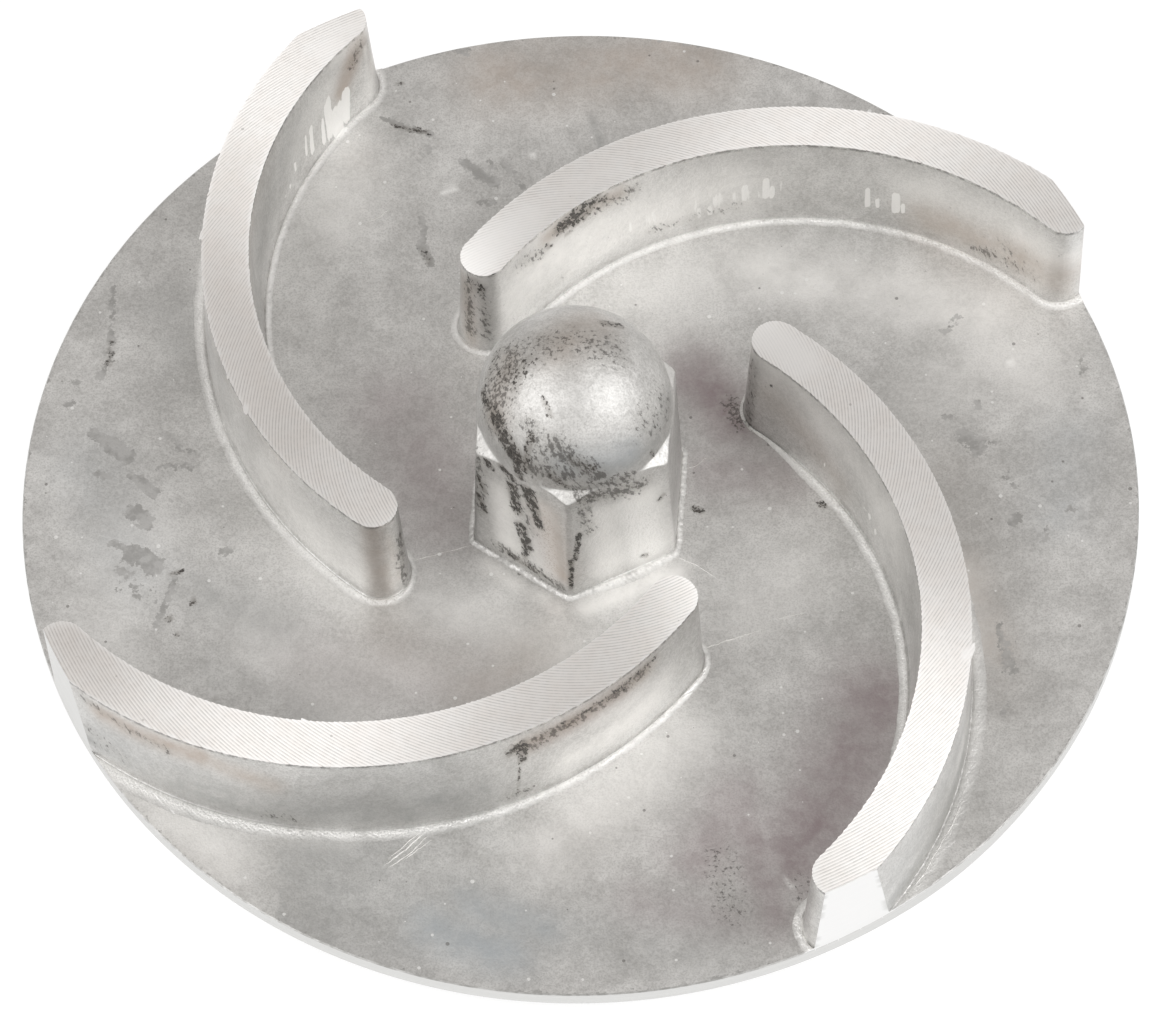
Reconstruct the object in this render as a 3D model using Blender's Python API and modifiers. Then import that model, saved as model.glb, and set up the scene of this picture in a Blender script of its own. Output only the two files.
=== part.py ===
# Open pump impeller: one aluminium casting, lying on its back with the vanes up.
# Units are metres. The pump shaft's axis is Z, and Z = 0 is the flat back of the casting.
import math

import bmesh
import bpy

MM = 0.001

# Rim and back plate
OUTER_RADIUS = 70.0 * MM
RIM_THICKNESS = 2.5 * MM
RIM_TOP = 6.0 * MM
DISH_SLOPE = 0.04
BACK_FLAT_RADIUS = 24.0 * MM
CAST_ALLOWANCE = 1.5 * MM

# Vanes: each follows one circular arc, has parallel sides and round ends
VANE_COUNT = 4
VANE_HEIGHT = 14.4 * MM
VANE_THICKNESS = 5.9 * MM
VANE_ARC_CENTRE = (5.3 * MM, 27.3 * MM)
VANE_ARC_RADIUS = 48.8 * MM
VANE_INNER_ANGLE = math.radians(231.5)
VANE_OUTER_ANGLE = math.radians(133.8)
DRAFT = 0.05
ROOT_FILLET = 1.1 * MM
ROOT_SINK = 0.15 * MM
VANE_FOOT_Z = 3.9 * MM

# Hub: a drafted hexagon with rounded corners and a domed nose
HUB_ACROSS_FLATS_TOP = 23.4 * MM
HUB_ACROSS_FLATS_ROOT = 25.3 * MM
HUB_CORNER_RADIUS = 1.0 * MM
HUB_TOP_HEIGHT = 19.3 * MM
CHAMFER_START_RADIUS = 12.08 * MM
CHAMFER_START_HEIGHT = 19.05 * MM
CHAMFER_SLOPE = 0.8
HUB_TURN = math.radians(-96.0)
HUB_FOOT_Z = 2.5 * MM
DOME_RADIUS = 11.95 * MM
DOME_CENTRE_HEIGHT = 19.8 * MM
DOME_SINK = 2.0 * MM

# Blind shaft bore, open at the back
BORE_RADIUS = 8.0 * MM
BORE_DEPTH = 22.0 * MM
BORE_CHAMFER = 1.0 * MM
DRILL_POINT = math.radians(59.0)

# Facets
ARC_STEPS = 32
CAP_STEPS = 12
TURNED_STEPS = 128
DOME_STEPS = 64
DOME_ARC_STEPS = 14
CORNER_STEPS = 3
MERGE_DISTANCE = 0.01 * MM
SHARP_ANGLE = math.radians(30.0)

VANE_TOP = RIM_TOP + VANE_HEIGHT
HUB_TOP_Z = RIM_TOP + HUB_TOP_HEIGHT
CLEARANCE = 5.0 * MM

CAST_ALUMINIUM = ((0.52, 0.51, 0.49), 0.45, 0.9)


def clear_scene():
    """Remove whatever the opened file holds."""
    for old in list(bpy.data.objects):
        bpy.data.objects.remove(old, do_unlink=True)


def new_collection(name):
    """A collection linked to the scene."""
    group = bpy.data.collections.new(name)
    bpy.context.scene.collection.children.link(group)
    return group


def metal(name, colour, roughness, metallic):
    """A plain Principled BSDF material."""
    material = bpy.data.materials.new(name)
    material.use_nodes = True
    shader = material.node_tree.nodes["Principled BSDF"]
    shader.inputs["Base Color"].default_value = (*colour, 1.0)
    shader.inputs["Roughness"].default_value = roughness
    shader.inputs["Metallic"].default_value = metallic
    return material


def add_object(name, mesh, group, material):
    """Put a mesh into a collection as a named object with one material."""
    piece = bpy.data.objects.new(name, mesh)
    mesh.materials.append(material)
    group.objects.link(piece)
    return piece


def as_guide(piece):
    """Mark a piece as a shape that only feeds a Boolean."""
    piece.hide_render = True
    piece.display_type = "WIRE"
    return piece


def turned(name, profile, steps, group, material):
    """Turn a profile of (radius, height) points, which runs down the outer side, about Z."""
    mesh = bpy.data.meshes.new(name)
    points = [(radius, 0.0, height) for radius, height in profile]
    edges = [(i, i + 1) for i in range(len(points) - 1)]
    mesh.from_pydata(points, edges, [])
    piece = add_object(name, mesh, group, material)
    screw = piece.modifiers.new("turn", "SCREW")
    screw.steps = steps
    screw.render_steps = steps
    screw.use_smooth_shade = True
    screw.use_merge_vertices = True
    screw.merge_threshold = MERGE_DISTANCE
    return piece


def front_height(radius):
    """Height of the plate's front face, a shallow cone that drops towards the hub."""
    return RIM_TOP - DISH_SLOPE * (OUTER_RADIUS - radius)


def plate(group, material):
    """The back plate as cast, a little larger than the turned rim."""
    blank = OUTER_RADIUS + CAST_ALLOWANCE
    rim_underside = RIM_TOP - RIM_THICKNESS
    profile = [
        (0.0, front_height(0.0)),
        (blank, front_height(blank)),
        (blank, rim_underside),
        (OUTER_RADIUS, rim_underside),
        (BACK_FLAT_RADIUS, 0.0),
        (0.0, 0.0),
    ]
    return turned("impeller_casting", profile, TURNED_STEPS, group, material)


def vane_outline(half_width, turn):
    """Plan outline of a vane: two arcs about one centre, joined by a half circle at each end."""
    centre_x, centre_y = VANE_ARC_CENTRE
    sweep = VANE_OUTER_ANGLE - VANE_INNER_ANGLE

    def arc_point(angle, radius):
        return centre_x + radius * math.cos(angle), centre_y + radius * math.sin(angle)

    def end_cap(angle, facing):
        middle_x, middle_y = arc_point(angle, VANE_ARC_RADIUS)
        for step in range(1, CAP_STEPS):
            swing = angle + facing - math.pi * step / CAP_STEPS
            yield middle_x + half_width * math.cos(swing), middle_y + half_width * math.sin(swing)

    outline = []
    for step in range(ARC_STEPS + 1):
        angle = VANE_INNER_ANGLE + sweep * step / ARC_STEPS
        outline.append(arc_point(angle, VANE_ARC_RADIUS + half_width))
    outline.extend(end_cap(VANE_OUTER_ANGLE, 0.0))
    for step in range(ARC_STEPS + 1):
        angle = VANE_OUTER_ANGLE - sweep * step / ARC_STEPS
        outline.append(arc_point(angle, VANE_ARC_RADIUS - half_width))
    outline.extend(end_cap(VANE_INNER_ANGLE, math.pi))
    cos_turn, sin_turn = math.cos(turn), math.sin(turn)
    return [(x * cos_turn - y * sin_turn, x * sin_turn + y * cos_turn) for x, y in outline]


def loft(name, rings, group, material):
    """Close a stack of rings of equal point counts into one solid."""
    shape = bmesh.new()
    rows = [[shape.verts.new(point) for point in ring] for ring in rings]
    count = len(rows[0])
    for lower, upper in zip(rows, rows[1:]):
        for i in range(count):
            j = (i + 1) % count
            shape.faces.new((lower[i], lower[j], upper[j], upper[i]))
    shape.faces.new(rows[0])
    shape.faces.new(rows[-1])
    bmesh.ops.recalc_face_normals(shape, faces=shape.faces)
    mesh = bpy.data.meshes.new(name)
    shape.to_mesh(mesh)
    shape.free()
    mesh.shade_smooth()
    mesh.set_sharp_from_angle(angle=SHARP_ANGLE)
    return add_object(name, mesh, group, material)


def vane(index, group, material):
    """One vane with drafted walls and a small fillet that follows the dished plate."""
    turn = -2.0 * math.pi * index / VANE_COUNT
    root_half = VANE_THICKNESS / 2 + DRAFT * VANE_HEIGHT
    top_half = VANE_THICKNESS / 2 - DRAFT * CAST_ALLOWANCE
    flare = vane_outline(root_half + ROOT_FILLET, turn)
    foot = [(x, y, VANE_FOOT_Z) for x, y in flare]
    toe = [(x, y, front_height(math.hypot(x, y)) - ROOT_SINK) for x, y in flare]
    heel = [
        (x, y, front_height(math.hypot(x, y)) + ROOT_FILLET)
        for x, y in vane_outline(root_half - DRAFT * ROOT_FILLET, turn)
    ]
    top = [(x, y, VANE_TOP + CAST_ALLOWANCE) for x, y in vane_outline(top_half, turn)]
    return as_guide(loft(f"vane_{index + 1}", [foot, toe, heel, top], group, material))


def hexagon(across_flats, height):
    """The hub's outline at one height: six corners, each a short arc."""
    arc_centre = (across_flats / 2 - HUB_CORNER_RADIUS) / math.cos(math.pi / 6)
    outline = []
    for side in range(6):
        corner = HUB_TURN + side * math.pi / 3
        for step in range(CORNER_STEPS + 1):
            swing = corner + math.pi / 3 * (step / CORNER_STEPS - 0.5)
            outline.append((
                arc_centre * math.cos(corner) + HUB_CORNER_RADIUS * math.cos(swing),
                arc_centre * math.sin(corner) + HUB_CORNER_RADIUS * math.sin(swing),
                height,
            ))
    return outline


def corner_chamfer(group, material):
    """A steep cone whose inside is what the chamfer leaves of the hexagon's corners."""
    skirt_radius = HUB_ACROSS_FLATS_ROOT
    start_z = RIM_TOP + CHAMFER_START_HEIGHT
    profile = [
        (0.0, start_z + CHAMFER_SLOPE * CHAMFER_START_RADIUS),
        (skirt_radius, start_z + CHAMFER_SLOPE * (CHAMFER_START_RADIUS - skirt_radius)),
        (skirt_radius, -CLEARANCE),
        (0.0, -CLEARANCE),
    ]
    return as_guide(turned("corner_chamfer", profile, TURNED_STEPS, group, material))


def hub_block(group, material):
    """The hexagon: drafted, with a small fillet at its root and chamfered top corners."""
    root_z = front_height(HUB_ACROSS_FLATS_ROOT / 2)
    flare = HUB_ACROSS_FLATS_ROOT + 2 * ROOT_FILLET
    rings = [
        hexagon(flare, HUB_FOOT_Z),
        hexagon(flare, root_z - ROOT_SINK),
        hexagon(HUB_ACROSS_FLATS_ROOT, root_z + ROOT_FILLET),
        hexagon(HUB_ACROSS_FLATS_TOP, HUB_TOP_Z),
    ]
    block = as_guide(loft("hub_hexagon", rings, group, material))
    combine(block, "INTERSECT", corner_chamfer(group, material))
    return block


def hub_dome(group, material):
    """The domed nose, which runs down into the hexagon until its flats cover it."""
    centre_z = RIM_TOP + DOME_CENTRE_HEIGHT
    base_angle = math.asin((HUB_TOP_Z - DOME_SINK - centre_z) / DOME_RADIUS)
    profile = [(0.0, centre_z + DOME_RADIUS)]
    for step in range(1, DOME_ARC_STEPS + 1):
        angle = math.pi / 2 + (base_angle - math.pi / 2) * step / DOME_ARC_STEPS
        height = centre_z + DOME_RADIUS * math.sin(angle)
        profile.append((DOME_RADIUS * math.cos(angle), height))
    profile.append((0.0, height))
    return as_guide(turned("hub_dome", profile, DOME_STEPS, group, material))


def turning_envelope(group, material):
    """What the lathe leaves: the outer rim, the vane tops and room for the nose."""
    step_radius = HUB_ACROSS_FLATS_ROOT / math.sqrt(3.0) + 2 * ROOT_FILLET
    nose_clear = RIM_TOP + DOME_CENTRE_HEIGHT + DOME_RADIUS + CLEARANCE
    profile = [
        (0.0, nose_clear),
        (step_radius, nose_clear),
        (step_radius, VANE_TOP),
        (OUTER_RADIUS, VANE_TOP),
        (OUTER_RADIUS, -CLEARANCE),
        (0.0, -CLEARANCE),
    ]
    return as_guide(turned("turning_envelope", profile, TURNED_STEPS, group, material))


def shaft_bore(group, material):
    """Blind bore from the back, with a chamfered mouth and a drilled end."""
    point_height = BORE_RADIUS / math.tan(DRILL_POINT)
    profile = [
        (0.0, BORE_DEPTH + point_height),
        (BORE_RADIUS, BORE_DEPTH),
        (BORE_RADIUS, BORE_CHAMFER),
        (BORE_RADIUS + BORE_CHAMFER, 0.0),
        (BORE_RADIUS + BORE_CHAMFER, -CLEARANCE),
        (0.0, -CLEARANCE),
    ]
    return as_guide(turned("shaft_bore", profile, DOME_STEPS, group, material))


def combine(target, operation, other):
    """Add one Boolean step to the casting."""
    step = target.modifiers.new(other.name, "BOOLEAN")
    step.operation = operation
    step.solver = "EXACT"
    step.object = other


def build():
    """Model the casting from its shapes, then turn and bore it."""
    clear_scene()
    parts = new_collection("water_pump_impeller")
    guides = new_collection("impeller_guides")
    aluminium = metal("cast_aluminium", *CAST_ALUMINIUM)
    casting = plate(parts, aluminium)
    for index in range(VANE_COUNT):
        combine(casting, "UNION", vane(index, guides, aluminium))
    combine(casting, "UNION", hub_block(guides, aluminium))
    combine(casting, "UNION", hub_dome(guides, aluminium))
    combine(casting, "INTERSECT", turning_envelope(guides, aluminium))
    combine(casting, "DIFFERENCE", shaft_bore(guides, aluminium))


build()
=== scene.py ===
import math

import bmesh
import bpy
import numpy as np
from mathutils import Matrix, Vector, noise


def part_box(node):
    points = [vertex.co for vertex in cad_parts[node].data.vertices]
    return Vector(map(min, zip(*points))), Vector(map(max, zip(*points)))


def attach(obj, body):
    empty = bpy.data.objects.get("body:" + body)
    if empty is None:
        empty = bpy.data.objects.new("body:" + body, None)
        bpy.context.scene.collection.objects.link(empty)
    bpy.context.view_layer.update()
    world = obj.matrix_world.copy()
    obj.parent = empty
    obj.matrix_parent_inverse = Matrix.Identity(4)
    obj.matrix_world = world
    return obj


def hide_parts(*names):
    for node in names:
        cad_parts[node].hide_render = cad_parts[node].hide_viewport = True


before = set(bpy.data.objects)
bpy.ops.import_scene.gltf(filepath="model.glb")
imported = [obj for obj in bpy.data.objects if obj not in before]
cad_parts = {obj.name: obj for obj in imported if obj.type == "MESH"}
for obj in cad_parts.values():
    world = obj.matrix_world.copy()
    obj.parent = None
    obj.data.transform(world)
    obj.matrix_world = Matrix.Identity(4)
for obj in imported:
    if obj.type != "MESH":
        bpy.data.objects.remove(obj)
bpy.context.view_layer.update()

MM = 0.001
NODE = "impeller_casting"
low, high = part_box(NODE)

# Driving dimensions, as in the solid
OUTER_RADIUS = (high.x - low.x) / 2 / MM
NOSE_TOP = high.z / MM
RIM_TOP = 6.0
RIM_THICKNESS = 2.5
RIM_LOW = RIM_TOP - RIM_THICKNESS
DISH_SLOPE = 0.04
BACK_FLAT_RADIUS = 24.0
VANE_COUNT = 4
VANE_TOP = 20.4
VANE_HALF = 5.9 / 2
VANE_ARC_CENTRE = (5.3, 27.3)
VANE_ARC_RADIUS = 48.8
VANE_INNER_ANGLE = math.radians(231.5)
VANE_OUTER_ANGLE = math.radians(133.8)
DRAFT = 0.05
HUB_FLATS_TOP = 23.4
HUB_FLATS_ROOT = 25.3
HUB_TOP = 25.3
CHAMFER_START = 25.05
CHAMFER_START_RADIUS = 12.08
CHAMFER_SLOPE = 0.8
HUB_TURN = math.radians(-96.0)
HUB_CORNER_RADIUS = 1.0
DOME_RADIUS = 11.95
DOME_CENTRE = NOSE_TOP - DOME_RADIUS
BORE_RADIUS = 8.0
BORE_DEPTH = 22.0
BORE_CHAMFER = 1.0
DRILL_POINT = math.radians(59.0)

# Where the as-cast shapes sit beside the turned axis
CAST_SHIFT = (-0.14, 0.31)
HUB_SHIFT = (-0.15, -0.28)
NOSE_SHIFT = (-0.31, -0.28)

# Turning marks on the vane tops
FEED = 0.385
GROOVE_DEPTH = 0.03
SAMPLES_PER_GROOVE = 5

# The front face's slow unevenness: height, waves per millimetre in x and y, phase
SWELLS = ((0.045, 0.11, 0.05, 1.0), (0.035, -0.06, 0.14, 0.0))
SWELL_PATCHES = 0.020

# How meshes are closed: points this near are merged, edges this sharp stay sharp
MERGE_DISTANCE = 0.002
ROUND_PIECE_EDGE = 38.0
VANE_EDGE = 50.0

# Finishes, in the order of each piece's material slots
CAST, TURNED, RIM_CUT, BORED = 0, 1, 2, 3


def smooth_step(value, start, end):
    """0 before start, 1 after end, eased between."""
    part = np.clip((value - start) / (end - start), 0.0, 1.0)
    return part * part * (3.0 - 2.0 * part)


def rough(size, seed, x, y=0.0, z=0.0):
    """Repeatable noise in -1..1 at points, with lumps of about the given size."""
    x, y, z = np.broadcast_arrays(x, y, z)
    points = zip(np.ravel(x) / size + seed * 17.3, np.ravel(y) / size, np.ravel(z) / size)
    return np.array([noise.noise(Vector(point)) for point in points]).reshape(x.shape)


def face_height(x, y):
    """Height of the front face: a shallow cone that drops towards the hub, a little uneven."""
    radius = np.hypot(x, y)
    swell = sum(tall * np.sin(x * a + y * b + phase) for tall, a, b, phase in SWELLS)
    swell = swell + SWELL_PATCHES * np.sin(x * 0.31 + 2.0) * np.sin(y * 0.27 + 0.5)
    level = RIM_TOP - DISH_SLOPE * (OUTER_RADIUS - radius)
    return level + swell * (1.0 - smooth_step(radius, 60.0, OUTER_RADIUS))


def put(name, data):
    """An object in the scene."""
    thing = bpy.data.objects.new(name, data)
    bpy.context.scene.collection.objects.link(thing)
    return thing


def grid_faces(rows, columns, close_rows=False, close_columns=False):
    """Quads of a grid of points, counted row by row, that may close on itself."""
    grid = np.arange(rows * columns).reshape(rows, columns)
    if close_rows:
        grid = np.concatenate([grid, grid[:1]])
    if close_columns:
        grid = np.concatenate([grid, grid[:, :1]], axis=1)
    corners = (grid[:-1, :-1], grid[:-1, 1:], grid[1:, 1:], grid[1:, :-1])
    return np.stack(corners, axis=2).reshape(-1, 4)


def make_piece(name, points, faces, finishes, layers):
    """A mesh object from points in millimetres, with a finish per face and values per point."""
    mesh = bpy.data.meshes.new(name)
    mesh.from_pydata((np.asarray(points) * MM).tolist(), [], faces)
    for layer, values in layers.items():
        field = mesh.attributes.new(layer, "FLOAT", "POINT")
        field.data.foreach_set("value", np.asarray(values, dtype=np.float32))
    mesh.polygons.foreach_set("material_index", np.asarray(finishes, dtype=np.int32))
    return put(name, mesh)


def close_up(piece, merge_distance, sharp_angle):
    """Merge touching points, turn the faces outwards and shade smooth up to an angle."""
    shape = bmesh.new()
    shape.from_mesh(piece.data)
    bmesh.ops.remove_doubles(shape, verts=shape.verts, dist=merge_distance * MM)
    bmesh.ops.recalc_face_normals(shape, faces=shape.faces)
    shape.to_mesh(piece.data)
    shape.free()
    piece.data.shade_smooth()
    piece.data.set_sharp_from_angle(angle=math.radians(sharp_angle))
    return piece


def finish_piece(piece, materials):
    """Give a piece its finishes, hang it on the root body and hide the solid it stands in for."""
    for material in materials:
        piece.data.materials.append(material)
    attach(piece, "root")
    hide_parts(NODE)


# Marks by layer, each a stroke: where it starts, where it ends, half width, strength.
# On the plate the places are plan positions, elsewhere they are points. Soft strokes fade
# out slowly, crisp ones over a share of their half width.

# Painted light among the layers: shade is painted shade, the cool grey tint is partly a painted reflection,
# the bright-metal layer is partly a painted highlight, and crease strokes among the dirt are painted shade.
SOFT_LAYERS = ("brown", "purple", "pale", "blue_tint_and_painted_reflection", "shade", "grime_and_painted_crease_shade")
CRISP_LAYERS = ("bright_metal_and_painted_highlight", "soot", "smear", "fleck")
CRISP_FADE = (0.35, 1.45)

PLATE_MARKS = {
    "soot": (
        (-59.5, 24, -59.6, 20.6, 0.5, 0.6), (-51.3, -10.5, -50.1, -10.2, 0.36, 1),
        (-22.6, 56.3, -18.4, 55.2, 0.45, 0.66), (-19.2, 36.8, -18.6, 35.4, 0.7, 0.6),
        (-51.5, -16.9, -51.1, -16.9, 0.4, 1), (-48.5, -14.2, -48.4, -14.8, 0.4, 0.9),
        (-50.5, -19.2, -50.3, -19.2, 0.4, 0.8), (-22, 63.1, -21.8, 63.1, 0.4, 0.9),
        (14.4, -2.7, 15, -3.1, 0.5, 1), (30.1, -3, 30.5, -3.3, 0.5, 0.9),
    ),
    "smear": (
        (51, -21.6, 51.3, -23.6, 0.6, 0.7), (-59.3, 32, -59.6, 21, 0.5, 0.8),
        (-24.3, 57.7, -20.5, 55.7, 0.45, 0.9), (-20.5, 55.7, -18, 55.1, 0.6, 0.9),
        (-19.6, 38, -18.5, 35, 0.8, 0.8), (-59.6, 21, -60.9, 18.6, 0.56, 0.8),
        (-61.3, 10.1, -59.8, 9.2, 0.95, 0.9), (-59.4, 8.9, -56.8, 6.7, 1.18, 1),
        (-60.9, 4.5, -59.4, 3.7, 0.56, 0.9), (-56.4, 3.9, -55.2, 2.9, 0.62, 1),
        (-55.2, 2.9, -53.6, 1.3, 0.95, 1), (-56, -1.2, -54.6, -2.8, 1.4, 0.9),
        (-58.6, -5.9, -56.2, -7.1, 0.67, 0.9), (-56.2, -7.3, -53.2, -9.3, 1.51, 1),
        (-58.1, -9.5, -56.2, -10.4, 0.5, 0.9), (-56.8, -11.8, -54, -13.6, 1.79, 0.42),
        (-52.1, 9.8, -50.7, 8.2, 0.62, 0.62), (-50.7, 8.2, -49, 7.2, 0.73, 0.62),
        (-52.6, 5, -49.2, 5.2, 0.84, 0.55), (-50.7, -11, -51.6, -14.2, 0.5, 0.9),
        (-51.6, -14.2, -53, -18, 0.62, 0.75), (-44.7, -7.3, -44.2, -7.5, 0.62, 0.9),
        (-63.9, 18.1, -63.4, 18.1, 0.62, 0.8), (-64.9, 14.6, -64.3, 14.9, 0.56, 0.8),
        (-18.3, 53.2, -18.3, 52, 0.5, 0.8), (-13.8, 50.6, -12.4, 49.2, 0.78, 0.9),
        (-12.4, 49.2, -10, 47.2, 1.01, 0.8), (-8.7, 50.1, -7.2, 48.5, 0.5, 0.8),
        (-7.5, 47.9, -5.9, 46.2, 0.5, 0.7), (-10.4, 50.6, -9.8, 49.2, 0.45, 0.7),
        (-19.3, 41.6, -19.1, 38.6, 0.56, 0.8), (-11.7, 44.1, -10.2, 44, 0.67, 0.7),
        (-14.2, 68.2, -12.9, 67.8, 0.62, 0.9), (48.8, 5.8, 50.3, 3.9, 1.34, 0.85),
        (50.4, 5.4, 52.4, 4.4, 0.5, 0.62), (47.2, 21, 49.3, 23.5, 0.84, 0.5),
        (64.7, 16.5, 64.4, 14.1, 0.84, 0.48), (50.7, 10.6, 50.8, 10, 0.67, 0.8),
        (46.6, 8.7, 47, 8.6, 0.62, 0.8), (53.6, -0.4, 54.8, -2.1, 0.84, 0.52),
        (54, -7.3, 54.6, -6.5, 0.78, 0.9), (60.8, -5.7, 61.6, -5.9, 0.56, 0.7),
        (58.2, -8.5, 57.6, -10.2, 0.5, 0.6), (51.4, -24.4, 52.1, -28.2, 1.06, 0.7),
        (50.3, -34.2, 51.2, -33.2, 0.67, 0.7),
    ),
    "bright_metal_and_painted_highlight": (
        (-16.6, 45.7, -15, 46.4, 0.45, 0.9), (55.4, 16.2, 55.6, 16.2, 0.45, 1),
        (-4.7, 51.1, -4.5, 51.1, 0.45, 0.9), (22.9, -55.6, 23.8, -56.8, 0.35, 0.6),
    ),
    "grime_and_painted_crease_shade": (
        (15.4, -52.5, 16.3, -59.5, 2.4, 0.42), (24.4, -55.5, 25, -59.5, 1.5, 0.36),
        (19.6, 12.6, 20.4, 9.4, 1.2, 0.8),
    ),
    # painted shade: darker patches on the plate, most of them towards its front edge
    "shade": (
        (-46, -24, -22, -38, 3, 0.25), (3.2, 57, 4.6, 51.6, 0.7, 0.6), (-12, -60, 14, -64, 5, 0.45),
        (-49, 22, -52, 30, 4, 0.35), (46, -4, 50, -30, 4.5, 0.22), (-34, -52, -12, -58, 6, 0.4),
        (-47, -13, -38, -18, 3.6, 0.45),
    ),
    "brown": (
        (-9, 64, 18, 65, 6, 0.7), (48, -12, 50.6, -26, 3, 0.4), (-14, -28, -8, -24, 4, 0.35),
        (46, 0, 50, -30, 5, 0.2), (-24, -20, -10, -26, 4, 0.2),
    ),
    "purple": (
        (18, 3, 25, 2, 5, 0.5), (15.5, 17, 20.2, 9.6, 4.2, 1), (35.4, -32, 25, -52, 6.5, 0.95),
        (12.8, -52.6, 18, -44, 4.5, 0.6), (5.5, -57.6, 14, -60, 3.5, 0.4), (-33, -24, -13, -27, 6, 0.25),
        (-22.5, 13, -17, -2, 6.5, 0.55), (19, -49, 21.5, -61, 3, 0.75), (11, -60, 17, -61, 3, 0.4),
    ),
    "blue_tint_and_painted_reflection": (
        (-19.6, -60.7, -10.2, -64.5, 3.2, 0.9), (-14.8, -57.5, -6.5, -61.2, 2.6, 0.7),
        (62, 4, 60, -6, 4.5, 0.35), (-56, -10, -62, 6, 5, 0.3),
    ),
    "pale": (
        (8, 29.5, 24, 33, 5, 0.5), (-4, -50, 12, -36, 5, 0.6), (-56, -4, -60, -20, 5, 0.4),
        (47.4, -14, 48.6, -24, 2.4, 0.8), (-32, -24, -12, -26, 4, 0.35), (-12, -9.8, -3.2, -16.6, 1.3, 0.8),
        (0, -16.6, 12, -11.8, 1.5, 1), (50, 22, 58, 14, 5, 0.5), (-40, -20, -30, -30, 5, 0.4),
        (-34, -8, -28, -16, 3, 0.4), (4, 24, 14, 25, 4, 0.3), (24, 33, 52, 24, 5.5, 0.9),
        (44, 12, 50, 16, 5, 0.5), (-20, -15.5, -4, -22, 4.5, 0.6), (20, -18, 26, -14, 5, 0.35),
        (-29, 50, -31, 42, 5, 0.55), (36, -56, 44, -48, 2, 0.7), (-58, -34, -44, -50, 4.5, 0.75),
        (-50, -44, -30, -49, 2.2, 0.7),
    ),
}

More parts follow.
